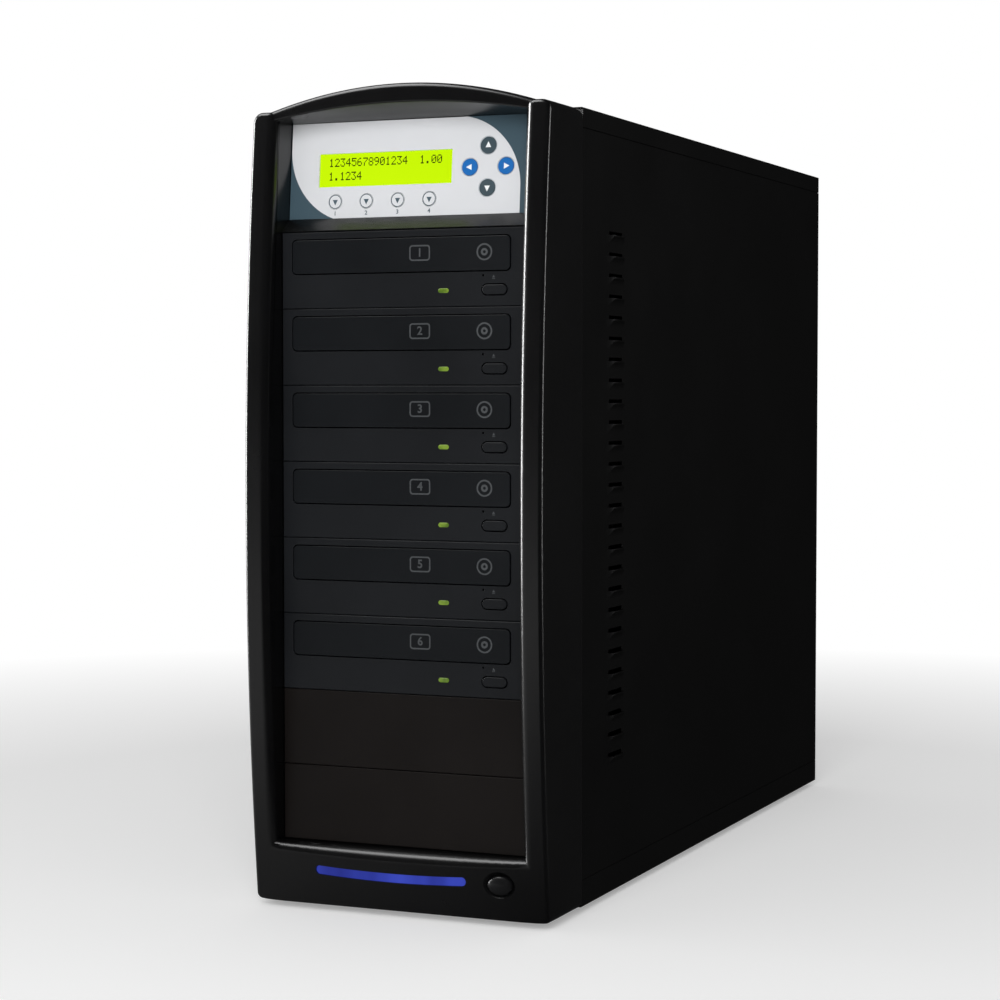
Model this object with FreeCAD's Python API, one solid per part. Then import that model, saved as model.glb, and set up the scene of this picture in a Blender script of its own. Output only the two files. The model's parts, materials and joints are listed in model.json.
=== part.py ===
"""Disc duplicator tower: a steel case behind a bowed moulded bezel.

Six disc drives with loading trays and two blank covers fill a column of eight bays. Above them is a
key panel with a display, and below them a light bar and the power button. The rear carries the
power supply and an exhaust fan.

Millimetres, +Z up, the front faces -Y. Every piece is drawn with Y = 0 at the seam between bezel and
steel case and Z = 0 at the underside of the case, and place() then moves it so that the origin is at
the bottom centre of the whole tower.
"""
import FreeCAD
import Part
import math
import os

Vector = FreeCAD.Vector

# Steel case
case_side = 14.2
case_depth = 479.5
case_head = 5.7
sheet = 1.0
cover_flange = 10.9
pan_flange = 14.6
fold_gap = 0.3
slip_gap = 0.1
joggle = 9.0
rear_flange = 12.0

# Bays
bay_width = 148.0
bay_pitch = 42.3
bay_gap = 0.3
bay_floor = 34.3
drive_count = 6
blank_count = 2
face_reach = 41.7

# Bezel
bezel_lap = 0.8
bezel_reach = 48.0
bezel_bow = 12.2
bezel_wall = 2.6
pillar_drop = 0.5
taper_length = 14.2
nose_taper = 1.4
nose_margin = 2.0
foot_radius = 3.5
shoulder_radius = 5.5
pillar_round = 6.5
ridge_radius = 2.2
opening_gap = 0.3
flare_angle = 6.8
sill_dip = 2.4
lip_depth = 28.0

# Crown over the key panel
crown_shoulder = 6.0
crown_rise = 13.0
crown_back_rise = 1.2
crown_step = 1.0
hood_rise = 7.8

# Key panel
panel_height = 53.6
panel_thickness = 2.0
panel_tilt = 4.9
panel_foot_reach = 33.0
ledge_rise = 7.7
panel_gap = 0.1
board_window_side = 6.0
board_window_end = 3.8
window_width = 80.5
window_height = 18.4
window_x = -16.0
window_up = 26.9
window_thickness = 1.5

# Keys
key_radius = 4.55
function_key_radius = 4.05
key_gap = 0.2
key_proud = 0.25
key_travel = 0.5
pad_margin = 28.4
pad_up = 25.8
pad_rise = 11.5
pad_spread = 10.6
function_margin = 28.3
function_up = 9.3
function_pitch = 19.05
function_count = 4

# Display and key board
module_width = 92.0
module_height = 26.0
module_thickness = 6.2
board_side = 1.5
board_end = 3.8
board_thickness = 1.6
standoff_radius = 2.0
standoff_margin = 0.2
switch_size = 6.0
switch_gap = 0.1

# Light bar
bar_margin = 28.65
bar_height = 4.8
bar_x = -4.8
bar_up = 18.3
bar_curve_radius = 690.0
bar_recess = 0.9
bar_depth = 7.0
bar_rim = 1.2
bar_gap = 0.15

# Power button and its switch
button_margin = 13.7
button_up = 19.1
button_width = 14.5
button_height = 10.8
button_gap = 0.25
button_length = 11.0
button_dome = 2.4
button_sink = 1.2
button_rim = 1.4
button_rim_thickness = 1.5
button_travel = 2.5
dish_width = 18.7
dish_height = 15.2
dish_depth = 1.7
oval_tip_share = 0.8
switch_width = 14.0
switch_depth = 9.0
plunger_radius = 2.8
plunger_length = 2.0
plunger_gap = 0.3

# Drive fascia and blank cover
fascia_depth = 9.0
fascia_wall = 2.4
fascia_rim = 1.7
door_x = -2.1
door_up = 28.35
door_margin = 8.4
door_height = 19.1
door_radius = 2.6
door_gap = 0.3
door_proud = 0.5
door_thickness = 4.6
eject_margin = 19.95
eject_up = 8.8
eject_width = 14.9
eject_height = 6.0
eject_gap = 0.3
eject_proud = 0.4
eject_length = 6.5
lamp_x = 24.0
lamp_up = 8.65
lamp_width = 6.3
lamp_height = 2.5
lamp_length = 3.4
lamp_gap = 0.05
pinhole_margin = 26.6
pinhole_up = 16.4
pinhole_radius = 0.65
blank_bevel = 0.8

# Drive case and tray
drive_margin = 1.0
drive_headroom = 1.0
drive_depth = 165.0
drive_wall = 1.0
tray_margin = 1.6
tray_length = 160.0
tray_thickness = 6.4
tray_floor = 2.0
tray_under = 1.2
tray_rim = 3.0
disc_radius = 60.8
disc_step = 1.6
floor_step = 3.2
disc_front = 65.0
pickup_width = 36.0
rail_height = 3.0
rail_gap = 0.3

# Drive cage and the steel wall in front of it
cage_wall = 1.0
cage_gap = 0.3
cage_depth = 150.0
cage_slot_length = 60.0
cage_slot_height = 22.0
frame_overlap = 0.5
lead_window_side = 30.0
lead_window_height = 44.0

# Louvres in the side panels
louvre_count = 26
louvre_pitch = 11.8
louvre_drop = 66.9
louvre_start = 39.5
louvre_length = 28.0
louvre_height = 6.4
louvre_rise = 2.3
louvre_hip = 5.5
louvre_crest = 0.8

# Power supply
psu_side = 1.0
psu_height = 86.0
psu_depth = 140.0
psu_wall = 1.2
psu_drop = 98.5
psu_window_margin = 4.0
psu_screw_margin = 6.0
psu_tab_radius = 6.0
psu_fan_x = -30.0

# Mains inlet with its rocker switch
inlet_x = 44.0
inlet_up = 56.0
inlet_width = 28.0
inlet_height = 20.5
inlet_socket_width = 24.0
inlet_socket_height = 16.5
inlet_body_depth = 20.0
inlet_socket_depth = 15.0
inlet_flange = 3.0
inlet_flange_thickness = 2.0
inlet_gap = 0.2
blade_contact_width = 2.0
blade_contact_height = 4.0
blade_contact_length = 8.5
blade_contact_spread = 7.0
blade_contact_drop = 2.0
rocker_up = 28.0
rocker_width = 21.0
rocker_height = 15.0
rocker_frame = 2.0
rocker_body_depth = 14.0
rocker_end_gap = 0.9
rocker_side_gap = 0.4
rocker_tilt = 9.0
rocker_thickness = 2.0
rocker_boss = 1.8
rocker_pivot_depth = 2.0
rocker_pin_radius = 1.5
pin_clearance = 0.05

# Fans
fan_size = 120.0
fan_thickness = 25.0
fan_drop = 126.0
fan_bore_radius = 57.5
fan_hub_radius = 20.0
fan_hole_pitch = 105.0
psu_fan_size = 70.0
psu_fan_thickness = 15.0
psu_fan_bore_radius = 33.0
psu_fan_hub_radius = 14.0
psu_fan_hole_pitch = 60.0
fan_blade_count = 7
fan_tip_gap = 1.5
blade_thickness = 1.8
blade_pitch_angle = 38.0
blade_root_overlap = 1.0
spoke_width = 5.0
spoke_thickness = 3.0
spoke_root = 1.0
shaft_radius = 1.5
shaft_clearance = 0.05
rotor_gap = 0.6
hub_cap = 2.0

# Stamped grille in front of a fan
grille_slots = 8
grille_bar = 3.0
grille_edge = 2.0
grille_spine = 5.0

# Copy controller board inside the case
controller_height = 120.0
controller_depth = 100.0
controller_thickness = 1.6
controller_up = 120.0
controller_back = 210.0
controller_post = 6.0
controller_post_half = 2.5
chip_size = 24.0
chip_height = 2.6

# Fasteners and feet
screw_head_radius = 3.4
screw_head_height = 2.0
screw_shank_radius = 1.5
screw_shank_length = 5.0
screw_clearance = 0.1
side_screw_count = 2
side_screw_margin = 60.0
foot_height = 4.0
foot_radius_low = 9.0
foot_radius_high = 10.0
foot_inset = 32.0
foot_set_back = 40.0
foot_peg_radius = 3.0
foot_peg_length = 3.0

# Cutting tools run this far past what they cut
overrun = 2.0

# Worked out from the sizes above
bay_count = drive_count + blank_count
bays_top = bay_floor + bay_count * bay_pitch
panel_radians = math.radians(panel_tilt)
panel_width = bay_width
panel_foot_height = bays_top + ledge_rise
panel_top_reach = panel_foot_reach - panel_height * math.sin(panel_radians)
panel_top_height = panel_foot_height + panel_height * math.cos(panel_radians)
case_height = panel_top_height + case_head
half_case = bay_width / 2 + case_side
pillar_height = case_height - pillar_drop
bezel_width = (half_case + bezel_lap) * 2
nose_width = bezel_width - nose_taper * 2
nose_reach = bezel_reach + bezel_bow + nose_margin
crown_half_width = bezel_width / 2 - crown_shoulder
opening_half = bay_width / 2 + opening_gap
bow_middle = case_height / 2
bow_radius = (bow_middle ** 2 + bezel_bow ** 2) / (2 * bezel_bow)
bow_centre = bezel_reach + bezel_bow - bow_radius
hood_slope = hood_rise / (bezel_reach - panel_top_reach)
frame_half = half_case - sheet - slip_gap * 2 - sheet
drive_width = bay_width - drive_margin * 2
drive_height = bay_pitch - bay_gap - drive_headroom
door_width = bay_width - door_margin * 2
tray_width = door_width - tray_margin * 2
eject_x = bay_width / 2 - eject_margin
pinhole_x = bay_width / 2 - pinhole_margin
cage_half = drive_width / 2 + cage_gap
bar_length = bay_width - bar_margin * 2
button_x = bay_width / 2 - button_margin
pad_x = panel_width / 2 - pad_margin
function_x = -panel_width / 2 + function_margin
board_width = panel_width - board_side * 2
board_height = panel_height - board_end * 2
psu_width = bay_width + psu_side * 2
psu_up = case_height - psu_drop
fan_up = psu_up - fan_drop
louvre_top = case_height - louvre_drop
wall_back = case_depth - sheet
wall_front = wall_back - sheet
screw_hole_radius = screw_shank_radius + screw_clearance
board_front = panel_thickness + module_thickness
board_rise = board_end


def block(x0, x1, y0, y1, z0, z1):
    """A box between two opposite corners."""
    return Part.makeBox(x1 - x0, y1 - y0, z1 - z0, Vector(x0, y0, z0))


def face_of(points):
    """The flat face inside a closed outline of points."""
    return Part.Face(Part.makePolygon(points + [points[0]]))


def drawn_x(outline, x0, x1):
    """An outline of (y, z) points drawn out along X."""
    return face_of([Vector(x0, y, z) for y, z in outline]).extrude(Vector(x1 - x0, 0, 0))


def drawn_y(outline, y0, y1):
    """An outline of (x, z) points drawn out along Y."""
    return face_of([Vector(x, y0, z) for x, z in outline]).extrude(Vector(0, y1 - y0, 0))


def drawn_z(outline, z0, z1):
    """An outline of (x, y) points drawn out along Z."""
    return face_of([Vector(x, y, z0) for x, y in outline]).extrude(Vector(0, 0, z1 - z0))


def rod(radius, x, z, y0, y1):
    """A round bar along Y."""
    return Part.makeCylinder(radius, y1 - y0, Vector(x, y0, z), Vector(0, 1, 0))


def rounded_bar(width, height, radius, x, z, y0, y1):
    """A bar along Y whose section is a rectangle with round corners, or a pill."""
    radius = min(radius, height / 2, width / 2)
    reach = radius * math.sqrt(0.5)
    run_x, run_z = width / 2 - radius, height / 2 - radius
    edges = []
    turns = [(1, 1), (-1, 1), (-1, -1), (1, -1)]
    for turn, (side, rise) in enumerate(turns):
        centre = Vector(x + side * run_x, y0, z + rise * run_z)
        flat = Vector(side * radius, 0, 0)
        tall = Vector(0, 0, rise * radius)
        begin, end = (flat, tall) if side * rise > 0 else (tall, flat)
        middle = centre + Vector(side * reach, 0, rise * reach)
        edges.append(Part.Arc(centre + begin, middle, centre + end).toShape())
        straight = run_x if side * rise > 0 else run_z
        if straight > 0:
            after_side, after_rise = turns[(turn + 1) % len(turns)]
            after = Vector(x + after_side * run_x, y0, z + after_rise * run_z)
            lead = Vector(0, 0, after_rise * radius) if side * rise > 0 else Vector(after_side * radius, 0, 0)
            edges.append(Part.makeLine(centre + end, after + lead))
    return Part.Face(Part.Wire(edges)).extrude(Vector(0, y1 - y0, 0))


def oval_wire(width, height, x, y, z):
    """An upright oval of four arcs across Y."""
    half, tall = width / 2, height / 2
    tip = tall * oval_tip_share
    broad = (half ** 2 + tall ** 2 - 2 * half * tip) / (2 * (tall - tip))
    out_x, out_z = (half - tip) / (broad - tip), (broad - tall) / (broad - tip)
    meet_x, meet_z = broad * out_x, broad * out_z - (broad - tall)
    corners_xz = [(meet_x, meet_z), (-meet_x, meet_z), (-meet_x, -meet_z), (meet_x, -meet_z)]
    middles = [(0, tall), (-half, 0), (0, -tall), (half, 0)]
    edges = []
    for turn, (mid_x, mid_z) in enumerate(middles):
        begin, end = corners_xz[turn], corners_xz[(turn + 1) % len(corners_xz)]
        edges.append(Part.Arc(Vector(x + begin[0], y, z + begin[1]), Vector(x + mid_x, y, z + mid_z),
                              Vector(x + end[0], y, z + end[1])).toShape())
    return Part.Wire(edges)


def oval_bar(width, height, x, z, y0, y1):
    """A bar along Y with an oval section."""
    return Part.Face(oval_wire(width, height, x, y0, z)).extrude(Vector(0, y1 - y0, 0))


def joined(shapes):
    """Several overlapping solids fused into one, without the seams between them."""
    return shapes[0].multiFuse(shapes[1:]).removeSplitter()


def bow_reach(height, inset=0.0):
    """How far the bowed front stands before the seam at a height, less a wall thickness."""
    return bow_centre + math.sqrt((bow_radius - inset) ** 2 - (height - bow_middle) ** 2)


def bezel_plan(inset):
    """The bezel's section at mid height: straight sides, a slight taper and rounded front edges."""
    wide, narrow = bezel_width / 2 - inset, nose_width / 2 - inset
    back, nose = overrun * 2, -bow_reach(bow_middle, inset)
    round_off = 0 if inset else ridge_radius
    slope = (wide - narrow) / taper_length
    outline = []
    for side in (-1, 1):
        bend, back_corner = Vector(side * wide, nose + taper_length, 0), Vector(side * wide, back, 0)
        corner = Vector(side * narrow, nose, 0)
        on_side = Vector(side * (narrow + slope * round_off), nose + round_off, 0)
        on_front = Vector(side * (narrow - round_off), nose, 0)
        middle = (on_side + on_front) * 0.5
        middle += (corner - middle) * (math.sqrt(2) - 1)
        outline.append((back_corner, bend, on_side, middle, on_front))
    left, right = outline
    edges = [Part.makeLine(left[0], left[1]), Part.makeLine(left[1], left[2])]
    if round_off:
        edges.append(Part.Arc(left[2], left[3], left[4]).toShape())
    edges.append(Part.makeLine(left[4], right[4]))
    if round_off:
        edges.append(Part.Arc(right[4], right[3], right[2]).toShape())
    edges += [Part.makeLine(right[2], right[1]), Part.makeLine(right[1], right[0]),
              Part.makeLine(right[0], left[0])]
    section = Part.Face(Part.Wire(edges))
    section.translate(Vector(0, 0, bow_middle))
    return section


def bowed(inset):
    """The bezel's section swept along the bow, a little past its foot and its crown."""
    swing = math.degrees(math.asin((bow_middle + crown_rise * 2) / bow_radius))
    axis = Vector(0, -bow_centre, bow_middle)
    section = bezel_plan(inset)
    section.rotate(axis, Vector(1, 0, 0), -swing)
    return section.revolve(axis, Vector(1, 0, 0), swing * 2)


def crown_wire(reach, rise, inset):
    """The arched outline of the crown at one depth."""
    half, foot = crown_half_width - inset, pillar_height - crown_step - inset
    base = foot - crown_rise
    arch = Part.Arc(Vector(-half, -reach, foot), Vector(0, -reach, pillar_height + rise - inset),
                    Vector(half, -reach, foot)).toShape()
    right = Part.makeLine(Vector(half, -reach, foot), Vector(half, -reach, base))
    under = Part.makeLine(Vector(half, -reach, base), Vector(-half, -reach, base))
    left = Part.makeLine(Vector(-half, -reach, base), Vector(-half, -reach, foot))
    return Part.Wire([arch, right, under, left])


def crown(inset):
    """The arched crown, which falls towards the case behind it."""
    front_rise = crown_back_rise + (crown_rise - crown_back_rise) * nose_reach / bezel_reach
    back = -overrun if inset else 0
    return Part.makeLoft([crown_wire(nose_reach, front_rise, inset), crown_wire(back, crown_back_rise, inset)],
                         True, True)


def bezel_body(inset):
    """The bezel's outer form, or the same form less a wall, open at the back."""
    half = bezel_width / 2 - inset
    back = overrun if inset else 0
    reach = nose_reach + bezel_bow
    front = block(-half, half, -reach, back, inset, pillar_height - inset)
    if not inset:
        feet = [edge for edge in front.Edges if along_y(edge) and edge.BoundBox.ZMax < bow_middle]
        shoulders = [edge for edge in front.Edges if along_y(edge) and edge.BoundBox.ZMin > bow_middle]
        front = front.makeFillet(foot_radius, feet)
        shoulders = [edge for edge in front.Edges if along_y(edge) and edge.BoundBox.ZMin > bow_middle]
        front = front.makeFillet(shoulder_radius, shoulders)
    return bowed(inset).common(front.fuse(crown(inset)))


def along_y(edge):
    """True for a straight edge that runs front to back."""
    box = edge.BoundBox
    return box.YLength > overrun and box.XLength < sheet / 2 and box.ZLength < sheet / 2


def mouth_wire(reach, half, dip, rise, grow):
    """The outline of the flared opening at one depth: dipped sill, upright sides, arched head."""
    low, high = bay_floor - opening_gap - grow, panel_top_height + grow
    sill_left, sill_right = Vector(-half, -reach, low), Vector(half, -reach, low)
    head_left, head_right = Vector(-half, -reach, high), Vector(half, -reach, high)
    sill = Part.Arc(sill_left, Vector(0, -reach, low - dip), sill_right).toShape()
    head = Part.Arc(head_right, Vector(0, -reach, high + rise), head_left).toShape()
    return Part.Wire([sill, Part.makeLine(sill_right, head_right), head, Part.makeLine(head_left, sill_left)])


def mouth(grow):
    """The flared opening in front of the bays, or the block of plastic that surrounds it."""
    reach = nose_reach + overrun
    spread = math.tan(math.radians(flare_angle)) * (reach - face_reach)
    sill_share = (reach - face_reach) / (bow_reach(bay_floor) - face_reach)
    back_dip = sill_dip * opening_gap / bay_floor
    return Part.makeLoft([mouth_wire(face_reach, opening_half + grow, back_dip, hood_slope * (face_reach - panel_top_reach),
                                     grow),
                          mouth_wire(reach, opening_half + grow + spread, sill_dip * sill_share,
                                     hood_slope * (reach - panel_top_reach), grow)], True, True)


def hood_recess(grow):
    """The recess in front of the key panel: a sloped ledge below and an arched hood above."""
    head = panel_top_height + grow
    back = panel_top_reach - grow
    wires = []
    for reach, rise in ((face_reach, hood_slope * (face_reach - panel_top_reach)), (back, 0.0)):
        left, right = Vector(-opening_half - grow, -reach, 0), Vector(opening_half + grow, -reach, 0)
        up = Vector(0, 0, head)
        if rise:
            top = Part.Arc(right + up, Vector(0, -reach, head + rise), left + up).toShape()
        else:
            top = Part.makeLine(right + up, left + up)
        low = Vector(0, 0, bay_floor)
        wires.append(Part.Wire([Part.makeLine(left + low, right + low), Part.makeLine(right + low, right + up), top,
                                Part.makeLine(left + up, left + low)]))
    tall = case_height + crown_rise
    outline = [(-face_reach, bays_top + opening_gap - grow), (-panel_foot_reach + grow, panel_foot_height - grow),
               (-back, head), (-back, tall), (-face_reach, tall)]
    side = drawn_x(outline, -opening_half - grow, opening_half + grow)
    return Part.makeLoft(wires, True, True).common(side)


def on_panel(shape):
    """Moves a shape drawn on an upright panel, foot at the origin, to its tilted place."""
    placed = shape.copy()
    placed.rotate(Vector(0, 0, 0), Vector(1, 0, 0), -panel_tilt)
    placed.translate(Vector(0, -panel_foot_reach, panel_foot_height))
    return placed


def bay_rise(bay):
    """The underside of a bay, counted from the lowest."""
    return bay_floor + bay * bay_pitch + bay_gap / 2


def drive_rise(number):
    """The underside of a numbered drive, the first at the top."""
    return bay_rise(bay_count - number)


def light_bar_form(grow, y0, y1):
    """The bar's outline, a pill bent to the sill's dip, drawn out along Y."""
    height, length = bar_height + 2 * grow, bar_length + 2 * grow
    swing = (length - height) / 2 / bar_curve_radius
    centre = Vector(bar_x, y0, bar_up + bar_curve_radius)

    def at(radius, angle):
        return centre + Vector(radius * math.sin(angle), 0, -radius * math.cos(angle))

    near, far = bar_curve_radius - height / 2, bar_curve_radius + height / 2
    tip = swing + height / 2 / bar_curve_radius
    edges = [Part.Arc(at(near, -swing), at(near, 0), at(near, swing)).toShape(),
             Part.Arc(at(near, swing), at(bar_curve_radius, tip), at(far, swing)).toShape(),
             Part.Arc(at(far, swing), at(far, 0), at(far, -swing)).toShape(),
             Part.Arc(at(far, -swing), at(bar_curve_radius, -tip), at(near, -swing)).toShape()]
    return Part.Face(Part.Wire(edges)).extrude(Vector(0, y1 - y0, 0))


def bezel_rims(body):
    """The edges to round where the flared opening meets the bowed front: two pillars and the sill."""
    rims = []
    for edge in body.Edges:
        middle = edge.valueAt((edge.FirstParameter + edge.LastParameter) / 2)
        on_bow = all(abs(-point.y - bow_reach(point.z)) < bay_gap / 2 for point in [middle] + [
            vertex.Point for vertex in edge.Vertexes])
        inside = abs(middle.x) < crown_half_width + pillar_round
        if on_bow and inside and bay_floor / 2 < middle.z < panel_foot_height:
            rims.append(edge)
    return rims


def switch_front():
    """The depth of the power switch's front, behind the pressed button and the plunger."""
    return -bow_reach(button_up) + button_length + button_travel + plunger_gap + plunger_length


def switch_post():
    """The post inside the chin that carries the power switch."""
    half, front = switch_width / 2, switch_front()
    return block(button_x - half, button_x + half, front, front + switch_depth, 0, button_up - button_height / 2)


def front_bezel():
    """The moulded bezel: bowed pillars, flared opening, sloped ledge, arched crown and chin."""
    body = bezel_body(0.0).cut(mouth(0.0))
    body = body.makeFillet(pillar_round, bezel_rims(body))
    wall = bezel_wall
    lip = block(-opening_half - wall, opening_half + wall, -face_reach, -face_reach + lip_depth,
                bay_floor - opening_gap - wall, bays_top + opening_gap + wall)
    floor_plate = on_panel(block(-opening_half - wall, opening_half + wall, 0, panel_thickness + wall, -wall,
                                 panel_height + wall))
    hollow = bezel_body(wall).cut(joined([mouth(wall), lip, hood_recess(wall), floor_plate, switch_post()]))
    bays = block(-opening_half, opening_half, -face_reach - overrun, overrun, bay_floor - opening_gap,
                 bays_top + opening_gap)
    seat = on_panel(block(-opening_half, opening_half, 0, panel_thickness, 0, panel_height))
    side, end = panel_width / 2 - board_window_side, board_window_end
    window = on_panel(block(-side, side, 0, panel_thickness + wall + overrun, end, panel_height - end))
    body = body.cut([hollow, bays, hood_recess(0.0), seat, window])
    chin = -bow_reach(button_up)
    slot = light_bar_form(bar_gap, -nose_reach, -bezel_reach + bezel_wall + overrun)
    dish = Part.makeLoft([oval_wire(dish_width, dish_height, button_x, chin, button_up),
                          oval_wire(button_width + button_gap * 2, button_height + button_gap * 2, button_x,
                                    chin + dish_depth, button_up)], True, True)
    hole = oval_bar(button_width + button_gap * 2, button_height + button_gap * 2, button_x, button_up,
                    chin - overrun, chin + bezel_wall + overrun)
    brow = oval_bar(dish_width, dish_height, button_x, button_up, chin - overrun, chin)
    return body.cut([slot, dish, hole, brow])


def light_bar():
    """The lit bar in the chin, with a rim that seats behind the wall."""
    front = -bow_reach(bar_up) + bar_recess
    seat = -bow_reach(bar_up - bar_height / 2) + bezel_wall + button_gap
    return joined([light_bar_form(0.0, front, front + bar_depth),
                   light_bar_form(bar_rim, seat, front + bar_depth)])


def power_button():
    """The oval button with its domed front and the rim that keeps it in."""
    chin = -bow_reach(button_up)
    front = chin - button_dome + button_sink
    back = front + button_length + button_dome - button_sink
    stem = oval_bar(button_width, button_height, button_x, button_up, front + button_dome, back)
    bands = []
    for share in (0.0, 0.3, 1.0):
        inset = button_dome * (1 - math.sqrt(share * (2 - share)))
        bands.append(oval_wire(button_width - inset * 2, button_height - inset * 2, button_x,
                               front + button_dome * share, button_up))
    dome = Part.makeLoft(bands, True, True)
    rim_start = chin + bezel_wall + button_gap * 2 + bezel_wall / 2
    rim = oval_bar(button_width + button_rim * 2, button_height + button_rim * 2, button_x, button_up, rim_start,
                   rim_start + button_rim_thickness)
    return joined([dome, stem, rim])


def power_switch():
    """The switch behind the power button, standing on its post, with its plunger."""
    half, front = switch_width / 2, switch_front()
    low = button_up - button_height / 2
    body = block(button_x - half, button_x + half, front, front + switch_depth, low, low + button_height)
    plunger = rod(plunger_radius, button_x, button_up, front - plunger_length, front + plunger_length)
    return joined([body, plunger])


def key_places():
    """Every key's name, place on the upright panel and radius."""
    places = [("key_up", pad_x, pad_up + pad_rise, key_radius), ("key_down", pad_x, pad_up - pad_rise, key_radius),
              ("key_back", pad_x - pad_spread, pad_up, key_radius),
              ("key_enter", pad_x + pad_spread, pad_up, key_radius)]
    for index in range(function_count):
        places.append((f"key_function_{index + 1}", function_x + index * function_pitch, function_up,
                       function_key_radius))
    return places


def control_panel():
    """The panel's face plate, with a window for the display and a hole for each key."""
    plate = block(-panel_width / 2, panel_width / 2, 0, panel_thickness, panel_gap, panel_height - panel_gap)
    holes = [rod(radius + key_gap, x, up, -overrun, panel_thickness + overrun) for _, x, up, radius in key_places()]
    window = block(window_x - window_width / 2 - panel_gap, window_x + window_width / 2 + panel_gap, -overrun,
                   panel_thickness + overrun, window_up - window_height / 2 - panel_gap,
                   window_up + window_height / 2 + panel_gap)
    return on_panel(plate.cut(holes + [window]))


def lcd_window():
    """The display's clear window, a little below the panel's face."""
    return on_panel(block(window_x - window_width / 2, window_x + window_width / 2,
                          panel_thickness - window_thickness, panel_thickness,
                          window_up - window_height / 2, window_up + window_height / 2))


def lcd_module():
    """The display module behind the panel: a frame with a raised rim around its glass."""
    low = window_up - module_height / 2
    return on_panel(block(window_x - module_width / 2, window_x + module_width / 2, panel_thickness, board_front,
                          low, low + module_height))


def control_board():
    """The board behind the panel, with standoffs to the bezel and a switch behind each key."""
    back = board_front + board_thickness
    pieces = [block(-board_width / 2, board_width / 2, board_front, back, board_rise, board_rise + board_height)]
    inset = standoff_radius + standoff_margin
    for side in (-1, 1):
        for up in (board_rise + inset, board_rise + board_height - inset):
            x = side * (board_width / 2 - inset)
            pieces.append(six_sided(standoff_radius, x, up, panel_thickness + bezel_wall, back))
    half = switch_size / 2
    for _, x, up, _ in key_places():
        front = panel_thickness + key_travel + switch_gap
        pieces.append(block(x - half, x + half, front, back, up - half, up + half))
    return on_panel(joined(pieces))


def key(x, up, radius):
    """One key: a round cap that stands a little proud of the panel."""
    return on_panel(rod(radius, x, up, -key_proud, panel_thickness))


def hollow_cover(z0):
    """The shell that both a fascia and a blank start from: a face with a rim behind it."""
    half, height = bay_width / 2, bay_pitch - bay_gap
    front = -face_reach
    shell = block(-half, half, front, front + fascia_depth, z0, z0 + height)
    rim = [edge for edge in shell.Edges if edge.BoundBox.YMax < front + sheet / 2]
    shell = shell.makeChamfer(blank_bevel / 2, rim)
    return shell.cut(block(-half + fascia_rim, half - fascia_rim, front + fascia_wall, front + fascia_depth + overrun,
                           z0 + fascia_rim, z0 + height - fascia_rim))


def drive_fascia(number):
    """A drive's front moulding, open for the tray's door, the eject button, the lamp and the pinhole."""
    z0, front = drive_rise(number), -face_reach
    ends = (front - overrun, front + fascia_wall + overrun)
    door = rounded_bar(door_width + door_gap * 2, door_height + door_gap * 2, door_radius + door_gap, door_x,
                       z0 + door_up, *ends)
    button = rounded_bar(eject_width + eject_gap * 2, eject_height + eject_gap * 2, eject_height, eject_x,
                         z0 + eject_up, *ends)
    lamp = rounded_bar(lamp_width + lamp_gap * 2, lamp_height + lamp_gap * 2, lamp_height, lamp_x, z0 + lamp_up, *ends)
    pinhole = rod(pinhole_radius, pinhole_x, z0 + pinhole_up, *ends)
    return hollow_cover(z0).cut([door, button, lamp, pinhole])


def blank_cover(bay):
    """A cover that closes an empty bay."""
    return hollow_cover(bay_rise(bay))


def drive_door(number):
    """The front of a tray, with round corners."""
    front = -face_reach - door_proud
    door = rounded_bar(door_width, door_height, door_radius, door_x, drive_rise(number) + door_up, front,
                       front + door_thickness)
    rim = [edge for edge in door.Edges if edge.BoundBox.YMax < front + sheet / 2]
    return door.makeChamfer(door_proud / 2, rim)


def tray_low(number):
    """The underside of a drive's tray."""
    return drive_rise(number) + door_up - door_height / 2 + tray_under


def drive_tray(number):
    """A loading tray with its disc recess and the slot over the pickup."""
    front = -face_reach - door_proud + door_thickness
    low = tray_low(number)
    high = low + tray_thickness
    plate = block(door_x - tray_width / 2, door_x + tray_width / 2, front, front + tray_length, low, high)
    centre = front + disc_front
    disc = Part.makeCylinder(disc_radius, tray_thickness, Vector(door_x, centre, high - disc_step))
    pickup = block(door_x - pickup_width / 2, door_x + pickup_width / 2, centre - pickup_width / 2,
                   front + tray_length - tray_rim * 2, low - overrun, high + overrun)
    under = block(door_x - tray_width / 2 + tray_rim, door_x + tray_width / 2 - tray_rim, front + tray_rim,
                  front + tray_length - tray_rim, low - overrun, high - floor_step - tray_floor / 2)
    return plate.cut([disc, pickup, under])


def eject_button(number):
    """A drive's eject button, a pill that stands a little proud."""
    front = -face_reach - eject_proud
    return rounded_bar(eject_width, eject_height, eject_height, eject_x, drive_rise(number) + eject_up, front,
                       front + eject_length)


def drive_lamps():
    """The six activity lamps, one in each fascia."""
    front = -face_reach
    return Part.makeCompound([rounded_bar(lamp_width, lamp_height, lamp_height, lamp_x, drive_rise(number) + lamp_up,
                                          front, front + lamp_length) for number in range(1, drive_count + 1)])


def drive_case(number):
    """A drive's steel shell, with a rail inside each wall that carries the tray."""
    half, front = drive_width / 2, -face_reach + fascia_depth
    low = drive_rise(number) + (bay_pitch - bay_gap - drive_height) / 2
    shell = block(-half, half, front, front + drive_depth, low, low + drive_height)
    shell = shell.cut(block(-half + drive_wall, half - drive_wall, front - overrun, front + drive_depth - drive_wall,
                            low + drive_wall, low + drive_height - drive_wall))
    top = tray_low(number) - rail_gap
    pieces = [shell]
    inner = half - drive_wall
    for side in (-1, 1):
        edge = door_x + side * (tray_width / 2 - tray_rim + rail_gap)
        x0, x1 = sorted((side * inner, edge))
        pieces.append(block(x0, x1, front + sheet, front + drive_depth - drive_wall, top - rail_height, top))
    return joined(pieces)


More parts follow.
